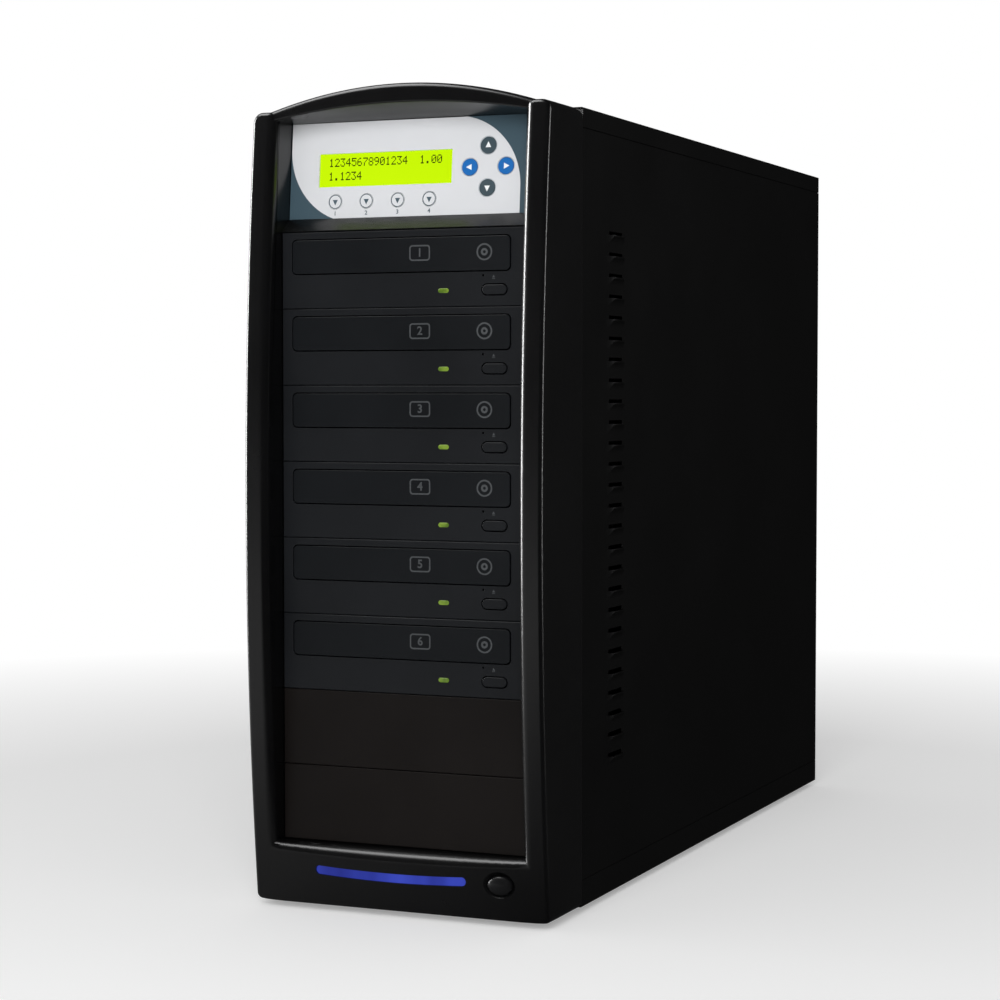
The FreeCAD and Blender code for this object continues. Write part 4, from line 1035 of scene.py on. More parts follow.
@dataclass
class Bezel:
    """The moulded bezel with its light bar and power button, in millimetres from the case's seam."""

    half_width: float = 89.0
    nose_half: float = 88.7
    taper_length: float = 14.2
    height: float = 439.0
    reach: float = 60.2
    bow_radius: float = 1985.2
    bow_middle: float = 219.75
    ridge: float = 2.4
    back_edge: float = 0.5
    foot_round: float = 3.5
    shoulder_round: float = 5.5
    rim: float = 5.2
    wall: float = 2.6
    rings: int = 44
    round_steps: int = 6
    long_edge: float = 20.0
    low_zone: float = 10.0
    near: float = 0.01

    face: float = 41.7
    opening_half: float = 74.3
    opening_low: float = 34.0
    opening_high: float = 373.0
    open_top: float = 470.0
    flare: float = 0.02
    sill_dip: float = 5.5
    sill_half: float = 82.0
    mouth_reach: float = 64.2
    mouth_columns: int = 24
    lip_depth: float = 28.0

    panel_top: Pair = (-28.42, 433.8)
    panel_height: float = 55.0
    panel_hollow: Pair = (-44.0, -23.0)
    window_low: Point = (-68.0, 0.0, 3.8)
    window_high: Point = (68.0, 12.0, 49.8)

    crown_half: float = 83.0
    crown_foot: float = 438.0
    crown_rise: float = 12.6
    crown_back_rise: float = 1.2
    crown_back_inset: float = 0.2
    crown_front: float = 46.9
    crown_round: float = 3.2
    crown_columns: int = 32
    crown_rows: int = 8
    hood_slope: float = 0.398
    hood_beyond: float = 4.0
    hood_round: float = 0.8

    bar_x: float = -4.8
    bar_up: float = 18.3
    bar_length: float = 90.7
    bar_height: float = 4.8
    bar_curve: float = 690.0
    bar_recess: float = 0.9
    bar_depth: float = 7.0
    bar_play: float = 0.15
    bar_steps: int = 20
    bar_sides: int = 32
    slot_span: Pair = (-56.0, -40.0)

    button: Pair = (60.3, 19.1)
    button_size: Pair = (14.5, 10.8)
    button_gap: float = 0.25
    dish_size: Pair = (18.7, 15.2)
    dish_depth: float = 1.7
    hole_depth: float = 8.0
    dome: float = 2.4
    dome_sink: float = 1.2
    dome_steps: int = 8
    dome_share: float = 0.97
    flange: float = 2.8
    flange_depth: float = 1.5

    def build(self) -> None:
        """Makes the moulding, the bar and the button."""
        self.shell()
        self.light_bar()
        self.power_button()

    def front_at(self, up: float) -> float:
        """How far the bowed front stands before the seam at a height."""
        return self.reach - self.bow_radius + math.sqrt(self.bow_radius ** 2 - (up - self.bow_middle) ** 2)

    def bowed_block(self, name: str, inset: float) -> Piece:
        """Makes the outer form without its crown, or its hollow.

        Args:
            name: The piece's name.
            inset: How far its faces lie inside the outer form.

        Returns:
            The new solid, in millimetres.
        """
        half, back = self.half_width - inset, 2.0 if inset else 0.0
        front, zone = self.near - self.reach, self.low_zone
        piece = block(name, (-half, -self.reach + inset, inset), (half, back, self.height - inset))
        with Bench(piece) as bench:
            if not inset:
                for low, size in ((True, self.foot_round), (False, self.shoulder_round)):
                    bench.edges(lambda a, b: abs(a.y - b.y) > self.long_edge and (a.z < zone) == low
                                and (b.z < zone) == low)
                    bpy.ops.mesh.bevel(offset=size, segments=self.round_steps, affect="EDGES")
                bench.edges(lambda a, b: a.y > -self.near and b.y > -self.near)
                bpy.ops.mesh.bevel(offset=self.back_edge, segments=2, affect="EDGES")
            bench.slice((0, self.taper_length - self.reach, 0), (0, 1, 0))
            nose = self.taper_length - self.reach - 1
            bench.points(lambda co: co.y < nose)
            bpy.ops.transform.resize(value=((self.nose_half - inset) / half, 1, 1), center_override=(0, 0, 0))
            if not inset:
                bench.edges(lambda a, b: a.y < front and b.y < front
                            and not (a.z < self.near and b.z < self.near))
                bpy.ops.mesh.bevel(offset=self.ridge, segments=5, affect="EDGES")
            for ring in range(1, self.rings):
                up = self.height * ring / self.rings
                near_sill = abs(up - self.opening_low + self.rim) < self.rim + 1
                if inset < up < self.height - inset and not near_sill:
                    bench.slice((0, 0, up), (0, 0, 1))
            for up in sorted({round(co.z, 3) for co in bench.places()}):
                if bench.points(lambda co: abs(co.z - up) < 0.002 and co.y < nose + 1.5):
                    bpy.ops.transform.translate(value=(0, self.reach - self.front_at(up), 0))
        return piece

    def mouth(self, name: str, grow: float) -> Piece:
        """Makes the flared opening as a solid: upright sides and a dipped sill.

        Args:
            name: The piece's name.
            grow: How far its faces lie outside the opening.

        Returns:
            The new solid, in millimetres.
        """
        half, low = self.opening_half + grow, self.opening_low - grow
        before, columns = -self.face - 1, self.mouth_columns
        piece = block(name, (-half, -self.mouth_reach, low), (half, -self.face, self.open_top))
        with Bench(piece) as bench:
            for column in range(1, columns):
                bench.slice((half * (2 * column / columns - 1), 0, 0), (1, 0, 0))
            for column in range(columns // 2):
                x = half * 2 * column / columns
                bench.points(lambda co: abs(abs(co.x) - x) < self.near and co.y < before and co.z < low + 1)
                bpy.ops.transform.translate(value=(0, 0, -self.sill_dip * (1 - (x / half) ** 2)))
            bench.points(lambda co: co.y < before)
            spread = half + self.flare * (self.mouth_reach - self.face)
            bpy.ops.transform.resize(value=(spread / half, 1, 1), center_override=(0, 0, 0))
        return piece

    def on_front(self, co: Vector) -> bool:
        """True for a point on the bowed front; near the open top it may lie further behind it."""
        slack = 0.06 if co.z < self.height - 3 else 20
        return -co.y > self.front_at(min(co.z, self.height)) - slack

    def on_side(self, co: Vector) -> bool:
        """True for a point on one of the opening's sides."""
        return abs(abs(co.x) - self.opening_half + self.flare * (self.face + co.y)) < 0.02

    def on_sill(self, co: Vector) -> bool:
        """True for a point on the opening's sill."""
        return co.z < self.opening_low + 0.05 and abs(co.x) < self.sill_half

    def round_rims(self, body: Piece) -> None:
        """Rounds the edges where the opening meets the bowed front, mitred in the lower corners.

        Args:
            body: The bezel's outer form with its opening.
        """
        above_foot = 20
        with Bench(body) as bench:
            bench.edges(lambda a, b: self.on_front(a) and self.on_front(b) and min(a.z, b.z) > above_foot
                        and (self.on_side(a) and self.on_side(b) or self.on_sill(a) and self.on_sill(b)))
            bpy.ops.mesh.bevel(offset=self.rim, segments=self.round_steps, affect="EDGES")

    def hood_at(self, across: float, y: float) -> float:
        """The height of the crown's underside, which falls towards the case and the sides.

        Args:
            across: The place across.
            y: The place along +Y.

        Returns:
            The height.
        """
        reach, up = self.opening_half + self.hood_beyond, self.panel_top[1]
        if abs(across) < reach and y < self.panel_top[0]:
            up += self.hood_slope * (self.panel_top[0] - y) * (1 - (across / reach) ** 2)
        return up

    @staticmethod
    def is_at(co: Vector, share: float, y: float) -> bool:
        """True for a point on one column, left or right, and one row of the crown's grid."""
        return abs(abs(co.x) - share) < 1e-3 and abs(co.y - y) < 0.01

    def crown(self) -> Piece:
        """Makes the arched crown with the hood under it, drawn one unit wide and high at first.

        Returns:
            The new solid, in millimetres.
        """
        columns, rows = self.crown_columns, self.crown_rows
        piece = block("crown", (-1, -self.crown_front, 0), (1, 0, 1))
        with Bench(piece) as bench:
            for column in range(1, columns):
                bench.slice((2 * column / columns - 1, 0, 0), (1, 0, 0))
            for row in range(1, rows):
                bench.slice((0, -self.crown_front * row / rows, 0), (0, 1, 0))
            for row in range(rows + 1):
                y = -self.crown_front * row / rows
                deep = (1 + y / self.crown_front) ** 3
                half = self.crown_half + (self.half_width - self.crown_back_inset - self.crown_half) * deep
                top = self.height + self.crown_back_rise
                top += (self.crown_rise - self.crown_back_rise) * (1 - deep)
                sag = top - self.crown_foot
                for column in range(columns // 2 + 1):
                    share = 2 * column / columns
                    if bench.points(lambda co: self.is_at(co, share, y) and co.z > 0.5):
                        bpy.ops.transform.translate(value=(0, 0, top - sag * share ** 2 - 1))
                    if bench.points(lambda co: self.is_at(co, share, y) and co.z < 0.5):
                        bpy.ops.transform.translate(value=(0, 0, self.hood_at(half * share, y)))
                bench.points(lambda co: abs(co.y - y) < self.near)
                bpy.ops.transform.resize(value=(half, 1, 1), center_override=(0, y, 0))
            self.round_crown(bench)
        return piece

    def round_crown(self, bench: Bench) -> None:
        """Rounds the crown's front edge, wide above and narrow at the hood.

        Args:
            bench: The crown in edit mode.
        """
        front, lowest = self.near - self.crown_front, self.crown_foot - 0.1

        def is_hood(co: Vector) -> bool:
            """True for a point on the hood's front edge."""
            return abs(co.z - self.hood_at(co.x, -self.crown_front)) < 0.15

        def across(a: Vector, b: Vector) -> bool:
            """True for an edge that runs across the crown's front."""
            return a.y < front and b.y < front and abs(a.x - b.x) > self.near

        bench.edges(lambda a, b: across(a, b) and min(a.z, b.z) > lowest
                    and not is_hood(a) and not is_hood(b))
        bpy.ops.mesh.bevel(offset=self.crown_round, segments=self.round_steps, affect="EDGES")
        bench.edges(lambda a, b: across(a, b) and is_hood(a) and is_hood(b))
        bpy.ops.mesh.bevel(offset=self.hood_round, segments=3, affect="EDGES")

    def on_panel(self, name: str, low: Point, high: Point) -> Piece:
        """Makes a block on the tilted panel, from corners given on the upright one.

        Args:
            name: The piece's name.
            low: Its lowest corner.
            high: Its highest corner.

        Returns:
            The new solid, in millimetres.
        """
        piece = block(name, low, high)
        with Bench(piece) as bench:
            bench.everything()
            turn = Matrix.Rotation(math.radians(-TILT), 3, "X")
            corners = {tuple(round(part, 4) for part in co) for co in bench.places()}
            for corner in corners:
                place = Vector(corner)
                goal = turn @ place + Vector((0, *PANEL_FOOT))
                bench.points(lambda co: (co - place).length < 1e-3)
                bpy.ops.transform.translate(value=goal - place)
        return piece

    def recess(self) -> Piece:
        """Makes the space in front of the key panel: a sloped ledge below and the panel's plane behind.

        Returns:
            The new solid, in millimetres.
        """
        half, above = self.opening_half, 460
        low, back = self.opening_high, self.panel_top[0]
        piece = block("recess", (-half, -self.face - 0.5, low), (half, back, above))
        with Bench(piece) as bench:
            bench.slice((0, 0, self.panel_top[1]), (0, 0, 1))
            bench.points(lambda co: co.y > -40 and co.z < low + 1)
            bpy.ops.transform.translate(value=(0, PANEL_FOOT[0] - back, PANEL_FOOT[1] - low))
        return piece

    def curved_bar(self, name: str, grow: float, front: float, back: float) -> Piece:
        """Makes the light bar's outline, a pill bent to the sill.

        Args:
            name: The piece's name.
            grow: How far its faces lie outside the bar's.
            front: Its front's Y.
            back: Its back's Y.

        Returns:
            The new solid, in millimetres.
        """
        height, length = self.bar_height + 2 * grow, self.bar_length + 2 * grow
        centre = Vector((self.bar_x, front, self.bar_up))
        piece = pill(name, centre, length, height, back - front, self.bar_sides)
        run, same = (length - height) / 2, 0.03
        with Bench(piece) as bench:
            for step in range(1, self.bar_steps):
                bench.slice((self.bar_x + run * (2 * step / self.bar_steps - 1), 0, 0), (1, 0, 0))
            bench.everything()
            places = sorted(abs(co.x - self.bar_x) for co in bench.places())
            columns = [place for place, before in zip(places, [-1.0, *places]) if place - before > same]
            for place in columns:
                if bench.points(lambda co: -same / 2 < abs(co.x - self.bar_x) - place < same / 2):
                    bpy.ops.transform.translate(value=(0, 0, place ** 2 / 2 / self.bar_curve))
        return piece

    def oval(self, name: str, size: Pair, front: float, back: float, far_size: Pair | None = None) -> Piece:
        """Makes an upright oval bar around the power button's axis.

        Args:
            name: The piece's name.
            size: Its width and height at the front.
            front: Its front's Y.
            back: Its back's Y.
            far_size: Its width and height at the back, when they differ.

        Returns:
            The new solid, in millimetres.
        """
        x, up = self.button
        piece = drum(name, 0.5, Vector((x, front, up)), back - front, 64)
        with Bench(piece) as bench:
            for side, (wide, tall) in ((1, size), (-1, far_size or size)):
                bench.points(lambda co: (co.y < (front + back) / 2) == (side == 1))
                bpy.ops.transform.resize(value=(wide, 1, tall), center_override=(x, 0, up))
        return piece

    def shell(self) -> None:
        """Makes the bezel's moulding."""
        body = self.bowed_block("bezel_moulding", 0.0)
        carve(body, self.mouth("mouth_cutter", 0.0))
        self.round_rims(body)
        wall, half, low, high = self.wall, self.opening_half, self.opening_low, self.opening_high
        hollow = self.bowed_block("hollow_cutter", wall)
        carve(hollow, self.mouth("mouth_wall", wall))
        carve(hollow, block("lip", (-half - wall, -self.face, low - wall),
                            (half + wall, self.lip_depth - self.face, high + wall)))
        carve(hollow, block("panel_back", (-half - wall, self.panel_hollow[0], high),
                            (half + wall, self.panel_hollow[1], self.open_top)))
        carve(body, hollow)
        carve(body, block("bays", (-half, -self.face - 2, low), (half, 3, high)))
        carve(body, self.recess())
        carve(body, self.on_panel("seat", (-half, -3, 0), (half, 2, self.panel_height)))
        carve(body, self.on_panel("board_window", self.window_low, self.window_high))
        carve(body, self.curved_bar("slot_cutter", self.bar_play, *self.slot_span))
        chin = -self.front_at(self.button[1])
        grown = tuple(part + 2 * self.button_gap for part in self.button_size)
        carve(body, self.oval("dish_cutter", self.dish_size, chin, chin + self.dish_depth, grown))
        carve(body, self.oval("brow_cutter", self.dish_size, chin - 2, chin))
        carve(body, self.oval("hole_cutter", grown, chin - 2, chin + self.hole_depth))
        with Bench(body) as bench:
            bench.everything()
            bpy.ops.mesh.remove_doubles(threshold=0.004)
            bpy.ops.mesh.normals_make_consistent(inside=False)
        body = join([body, self.crown()], "bezel_moulding")
        settle(body)
        shade(body, 32)
        weigh_normals(body)
        dress(body, Finish.BEZEL)
        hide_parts("front_bezel")
        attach(body, "root")
        log.info("bezel_moulding: %d faces", len(body.data.polygons))

    def light_bar(self) -> None:
        """Makes the lit lens, a little behind the chin's front."""
        front = -self.front_at(self.bar_up) + self.bar_recess
        bar = settle(self.curved_bar("light_bar_lens", 0.0, front, front + self.bar_depth))
        shade(bar, 35)
        dress(bar, Finish.BAR)
        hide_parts("light_bar")
        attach(bar, "root")
        log.info("light_bar_lens")

    def power_button(self) -> None:
        """Makes the oval button, whose front swells into a dome and whose back has a flange."""
        chin = -self.front_at(self.button[1])
        x, up = self.button
        front = chin - self.dome + self.dome_sink
        flange_front = chin + self.wall * 1.5 + self.button_gap * 2
        flange_back = flange_front + self.flange_depth
        cap = self.oval("power_button_cap", self.button_size, front + self.dome, flange_back)
        with Bench(cap) as bench:
            bench.faces(lambda middle, normal: normal.y < -0.9)
            for step in range(1, self.dome_steps + 1):
                angle, before = (part / self.dome_steps * math.pi / 2 * self.dome_share
                                 for part in (step, step - 1))
                rise = self.dome * (math.sin(angle) - math.sin(before))
                bpy.ops.mesh.extrude_region_move(TRANSFORM_OT_translate={"value": (0, -rise, 0)})
                share = math.cos(angle) / math.cos(before)
                bpy.ops.transform.resize(value=(share, 1, share), center_override=(x, 0, up))
            bpy.ops.mesh.poke()
        wide = tuple(part + self.flange for part in self.button_size)
        carve(cap, self.oval("rim", wide, flange_front, flange_back), Cut.TOGETHER)
        settle(cap)
        shade(cap, 40)
        dress(cap, Finish.DOME)
        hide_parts("power_button")
        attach(cap, "power_button")
        log.info("power_button_cap")


# Key panel


class Turn(Enum):
    """The way that a triangle points, as a turn about the panel's normal in degrees."""

    UP = 0
    RIGHT = 90
    DOWN = 180
    LEFT = -90


@dataclass
class KeyPanel:
    """The tilted panel: printed plate, lit display and eight keys. Places are (across, up) on the plate."""

    edge: float = 0.00015
    cap_edge: float = 0.0002
    pad: Pair = (45.6, 25.8)
    pad_reach: Pair = (10.6, 11.5)
    pad_arrow: float = 2.0
    halo: Pair = (5.2, 4.82)
    function_first: Pair = (-45.7, 9.3)
    function_pitch: float = 19.05
    function_arrow: float = 1.9
    function_ring: Pair = (3.9, 3.45)
    arrow_shape: Point = (0.95, 1, 1.08)
    proud: float = 0.25
    rooted: float = 0.1
    round_sides: int = 64
    digit_up: float = 2.7
    digit_height: float = 2.3
    text_left: float = -50.6
    text_rows: tuple[tuple[float, str], ...] = ((31.2, "12345678901234  1.00"), (23.6, "1.1234"))
    text_place: float = 0.46
    dot: Pair = (0.577, 0.66)
    dot_gap: float = 0.012
    dot_depth: float = 0.06
    glyphs: dict[str, tuple[int, ...]] = field(default_factory=lambda: {
        "0": (14, 17, 19, 21, 25, 17, 14), "1": (4, 12, 4, 4, 4, 4, 14), "2": (14, 17, 1, 2, 4, 8, 31),
        "3": (31, 2, 4, 2, 1, 17, 14), "4": (2, 6, 10, 18, 31, 2, 2), "5": (31, 16, 30, 1, 1, 17, 14),
        "6": (6, 8, 16, 30, 17, 17, 14), "7": (31, 1, 2, 4, 8, 8, 8), "8": (14, 17, 17, 14, 17, 17, 14),
        "9": (14, 17, 17, 15, 1, 2, 12), ".": (0, 0, 0, 0, 0, 12, 12), " ": (0,) * 7})

    def build(self) -> None:
        """Makes the plate, the display and the keys."""
        dress(refined("control_panel", self.edge), Finish.FILM)
        dress(refined("lcd_window", self.edge), Finish.DISPLAY)
        self.display_text()
        x, up = self.pad
        wide, tall = self.pad_reach
        for node, place, finish, turn in (
                ("key_up", (x, up + tall), Finish.SLATE_KEY, Turn.UP),
                ("key_down", (x, up - tall), Finish.SLATE_KEY, Turn.DOWN),
                ("key_back", (x - wide, up), Finish.BLUE_KEY, Turn.LEFT),
                ("key_enter", (x + wide, up), Finish.BLUE_KEY, Turn.RIGHT)):
            self.key(node, place, finish, turn, self.pad_arrow, Finish.WHITE)
            halo = self.ring(f"{node}_halo", place, self.halo, -PRINT_DEPTH, 0.0)
            dress(self.seat(halo), Finish.RING)
            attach(halo, "root")
        for index in range(4):
            place = (self.function_first[0] + index * self.function_pitch, self.function_first[1])
            self.key(f"key_function_{index + 1}", place, Finish.CAP, Turn.DOWN, self.function_arrow,
                     Finish.SLATE)
            self.number(str(index + 1), (place[0], self.digit_up))
        log.info("key panel: plate, display and 8 keys")

    def seat(self, piece: Piece) -> Piece:
        """Brings a piece drawn on the upright plate to its tilted place.

        Args:
            piece: The piece, in millimetres.

        Returns:
            The same piece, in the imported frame.
        """
        piece.rotation_euler = (math.radians(-TILT), 0, 0)
        piece.location = (0, *PANEL_FOOT)
        return settle(freeze(piece))

    def ring(self, name: str, place: Pair, radii: Pair, front: float, back: float) -> Piece:
        """Makes a flat ring on the upright plate.

        Args:
            name: The piece's name.
            place: Its centre on the plate.
            radii: Its outer and inner radius.
            front: Its front's Y.
            back: Its back's Y.

        Returns:
            The new ring, in millimetres.
        """
        x, up = place
        depth = back - front
        piece = drum(name, radii[0], Vector((x, front, up)), depth, self.round_sides)
        carve(piece, drum("ring_cutter", radii[1], Vector((x, front - 1, up)), depth + 2, self.round_sides))
        return piece

    def triangle(self, name: str, place: Pair, size: float, turn: Turn, front: float, back: float) -> Piece:
        """Makes a flat triangle on the upright plate, a little taller than it is wide.

        Args:
            name: The piece's name.
            place: Its centre on the plate.
            size: Its radius.
            turn: The way that it points.
            front: Its front's Y.
            back: Its back's Y.

        Returns:
            The new triangle, in millimetres.
        """
        piece = drum(name, size, Vector((0, front, 0)), back - front, 3)
        with Bench(piece) as bench:
            bench.everything()
            bpy.ops.transform.resize(value=self.arrow_shape, center_override=(0, 0, 0))
        piece.rotation_euler = (0, math.radians(turn.value), 0)
        piece.location = (place[0], 0, place[1])
        return freeze(piece)

    def key(self, node: str, place: Pair, finish: Finish, turn: Turn, size: float, mark: Finish) -> None:
        """Makes a key's cap with its mark.

        Args:
            node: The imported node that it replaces.
            place: Its place on the plate.
            finish: The cap's finish.
            turn: The way that its triangle points.
            size: The triangle's radius.
            mark: The mark's finish.
        """
        front, back = -self.proud - PRINT_DEPTH, self.rooted - self.proud
        cap = soften(merged_copy(node, f"{node}_cap"), self.cap_edge)
        dress(cap, finish)
        arrow = self.triangle(f"{node}_arrow", place, size, turn, front, back)
        pieces = [cap, dress(self.seat(arrow), mark)]
        if finish is Finish.CAP:
            rim = self.ring(f"{node}_rim", place, self.function_ring, front, back)
            pieces.append(dress(self.seat(rim), Finish.SLATE))
        cap = join(pieces, f"{node}_cap")
        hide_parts(node)
        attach(cap, node)

    def number(self, digit: str, place: Pair) -> None:
        """Prints a plain number on the plate.

        Args:
            digit: The number.
            place: Its centre on the plate.
        """
        piece = printed_text(f"panel_number_{digit}", digit, self.digit_height, place, 0.0)
        dress(self.seat(piece), Finish.SLATE)
        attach(piece, "root")

    def display_text(self) -> None:
        """Makes the display's rows of dots from a grid of which the unlit cells are taken out."""
        rows, lines = [], 7
        wide, tall = self.dot
        for up, text in self.text_rows:
            columns = 6 * len(text)
            bpy.ops.mesh.primitive_grid_add(x_subdivisions=columns, y_subdivisions=lines, size=1,
                                            rotation=(math.pi / 2, 0, 0))
            piece = bpy.context.object
            piece.scale = (columns * wide, lines * tall, 1)
            piece.location = (self.text_left + columns * wide / 2, self.text_place, up)
            freeze(piece)
            lit = {(6 * index + column, row) for index, sign in enumerate(text)
                   for row, bits in enumerate(self.glyphs[sign])
                   for column in range(5) if bits >> (4 - column) & 1}
            left, top = self.text_left, up + lines * tall / 2
            with Bench(piece) as bench:
                bench.faces(lambda middle, normal: (
                    int((middle.x - left) / wide), int((top - middle.z) / tall)) not in lit)
                bpy.ops.mesh.delete(type="FACE")
                bpy.ops.mesh.select_mode(type="FACE")
                bench.everything()
                bpy.ops.mesh.inset(thickness=self.dot_gap, use_individual=True)
                bpy.ops.mesh.select_all(action="INVERT")
                bpy.ops.mesh.delete(type="FACE")
                bench.everything()
                bpy.ops.mesh.extrude_region_move(TRANSFORM_OT_translate={"value": (0, self.dot_depth, 0)})
                bench.everything()
                bpy.ops.mesh.normals_make_consistent(inside=False)
            rows.append(piece)
        text = self.seat(join(rows, "display_dots"))
        dress(text, Finish.DOT)
        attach(text, "root")


def printed_text(name: str, text: str, height: float, place: Pair, back: float) -> Piece:
    """Makes plain figures as a thin print that faces -Y.

    Args:
        name: The piece's name.
        text: The figures.
        height: Their height.
        place: Their centre, across and up.
        back: Their back's Y.

    Returns:
        The print as a mesh, at the origin.
    """
    size_per_height, weight = 1.4, 0.03
    bpy.ops.object.text_add()
    piece = bpy.context.object
    piece.name = name
    piece.data.body = text
    piece.data.align_x, piece.data.align_y = "CENTER", "CENTER"
    piece.data.size = height * size_per_height
    piece.data.extrude = PRINT_DEPTH / 2
    piece.data.offset = height * weight
    piece.data.resolution_u = 4
    bpy.ops.object.convert(target="MESH")
    piece = bpy.context.object
    piece.name = name
    piece.rotation_euler = (math.pi / 2, 0, 0)
    piece.location = (place[0], back - PRINT_DEPTH / 2, place[1])
    return freeze(piece)


# Disc drives


@dataclass
class DiscDrives:
    """Six drives, modelled once and repeated.

    Heights are millimetres from the drive's underside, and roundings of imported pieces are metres.
    """

    count: int = 6
    pitch: float = 42.3
    first: float = 330.55
    face: float = -41.7
    door_front: float = -42.2
    edge: float = 0.00032
    door_edge: float = 0.0004
    tray_edge: float = 0.0003
    eject_edge: float = 0.0006
    lamp_edge: float = 0.0004
    groove: float = 0.28
    door_middle: Pair = (-2.1, 28.35)
    door_size: Pair = (131.2, 19.1)
    eject: Pair = (54.05, 8.8)
    eject_size: Pair = (14.9, 6.0)
    eject_mark: Pair = (53.6, 15.2)
    arrow_radius: float = 0.95
    arrow_up: float = 0.5
    bar_half: float = 0.85
    bar_span: Pair = (0.75, 0.4)
    lamp: Pair = (24.0, 8.65)
    lamp_size: Pair = (6.3, 2.5)
    lamp_proud: float = 0.15
    lamp_depth: float = 3.5
    number_mark: Pair = (10.2, 29.2)
    number_size: Pair = (12.4, 8.6)
    number_line: float = 0.8
    number_rounds: Pair = (1.8, 1.1)
    figure_height: float = 4.6
    disc_mark: Pair = (48.4, 29.0)
    disc_rings: tuple[Pair, ...] = ((4.6, 3.7), (2.0, 0.8))
    tray_top: float = 26.4
    small_recess: Pair = (40.8, 3.2)
    disc_centre: Pair = (-2.1, 27.4)

    def build(self) -> None:
        """Makes the first drive's pieces and repeats them."""
        fascia = soften(merged_copy("drive_1_fascia", "drive_1_front"), self.edge, 2)
        dress(fascia, Finish.DRIVE)
        door = merged_copy("drive_1_door", "drive_1_door_cap")
        self.narrowed(door, self.door_middle, self.door_size)
        dress(soften(door, self.door_edge), Finish.DOOR)
        button = merged_copy("drive_1_button", "drive_1_eject")
        self.narrowed(button, self.eject, self.eject_size)
        dress(soften(button, self.eject_edge, 4), Finish.DRIVE)
        tray = self.tray()
        lamp = self.lens()
        symbol = self.eject_symbol()
        disc = self.disc_sign()
        for number in range(1, self.count + 1):
            step = Vector((0, 0, -self.pitch * (number - 1) * MM))
            front = join([copied(fascia, "front", step), copied(symbol, "sign", step)],
                         f"drive_{number}_front")
            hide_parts(f"drive_{number}_fascia")
            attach(front, "root")
            sign = self.number_sign(number, self.first - self.pitch * (number - 1))
            cap = join([copied(door, "cap", step), copied(disc, "disc", step), sign],
                       f"drive_{number}_door_cap")
            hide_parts(f"drive_{number}_door")
            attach(cap, f"drive_{number}_loader")
            drawer = copied(tray, f"drive_{number}_drawer", step)
            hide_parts(f"drive_{number}_tray")
            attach(drawer, f"drive_{number}_loader")
            eject = copied(button, f"drive_{number}_eject", step)
            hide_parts(f"drive_{number}_button")
            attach(eject, f"drive_{number}_button")
            light = copied(lamp, f"drive_{number}_lamp", step)
            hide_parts("drive_lamps")
            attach(light, "root")
            log.info("drive %d: front, door, drawer, eject button and lamp", number)
        for master in (fascia, door, button, tray, lamp, symbol, disc):
            bpy.data.objects.remove(master, do_unlink=True)

    def narrowed(self, piece: Piece, middle: Pair, size: Pair) -> None:
        """Widens the groove around a door or a button a little by making it smaller about its middle.

        Args:
            piece: The door or the button.
            middle: Its middle, across and up.
            size: Its width and height.
        """
        wide, tall = (1 - 2 * self.groove / part for part in size)
        with Bench(piece) as bench:
            bench.everything()
            bpy.ops.transform.resize(value=(wide, 1, tall),
                                     center_override=at(middle[0], 0, self.first + middle[1]))

    def tray(self) -> Piece:
        """Makes the tray with the smaller disc's recess inside the larger one.

        Returns:
            The first drive's tray.
        """
        piece = merged_copy("drive_1_tray", "drive_1_drawer")
        radius, deep = self.small_recess
        length = 10
        middle = at(*self.disc_centre, self.first + self.tray_top - deep + length / 2)
        bpy.ops.mesh.primitive_cylinder_add(vertices=96, radius=radius * MM, depth=length * MM,
                                            location=middle)
        carve(piece, freeze(bpy.context.object))
        return dress(soften(piece, self.tray_edge, 2, 40), Finish.TRAY)

    def lens(self) -> Piece:
        """Makes the lamp's lens: a pill with a rounded front.

        Returns:
            The first drive's lamp.
        """
        centre = Vector((self.lamp[0], self.face - self.lamp_proud, self.first + self.lamp[1]))
        piece = settle(pill("drive_1_lamp", centre, *self.lamp_size, self.lamp_depth, 32))
        return dress(soften(piece, self.lamp_edge, 4), Finish.LAMP)

    def eject_symbol(self) -> Piece:
        """Makes the eject sign over the button: a triangle on a bar.

        Returns:
            The first drive's sign.
        """
        x, up = self.eject_mark
        front, z, half = self.face - PRINT_DEPTH, self.first + up, self.bar_half
        arrow = drum("arrow", self.arrow_radius, Vector((x, front, z + self.arrow_up)), PRINT_DEPTH, 3)
        low, high = (z - part for part in self.bar_span)
        bar = block("bar", (x - half, front, low), (x + half, self.face, high))
        return dress(settle(join([arrow, bar], "eject_sign")), Finish.MARK)

    def disc_sign(self) -> Piece:
        """Makes the door's disc sign: two rings seen as a disc lies.

        Returns:
            The first drive's sign.
        """
        x, up = self.disc_mark
        front, z = self.door_front - PRINT_DEPTH, self.first + up
        rings = []
        for outer, inner in self.disc_rings:
            ring = drum("ring", outer, Vector((x, front, z)), PRINT_DEPTH)
            carve(ring, drum("ring_cutter", inner, Vector((x, front - 1, z)), 3))
            rings.append(ring)
        return dress(settle(join(rings, "disc_sign")), Finish.MARK)

    def plate(self, name: str, low: Point, high: Point, corner: float) -> Piece:
        """Makes an upright plate with rounded corners.

        Args:
            name: The piece's name.
            low: Its lowest corner.
            high: Its highest corner.
            corner: The radius of its corners.

        Returns:
            The new plate, in millimetres.
        """
        piece = block(name, low, high)
        with Bench(piece) as bench:
            bench.edges(lambda a, b: abs(a.y - b.y) > (high[1] - low[1]) / 2)
            bpy.ops.mesh.bevel(offset=corner, segments=6, affect="EDGES")
        return piece

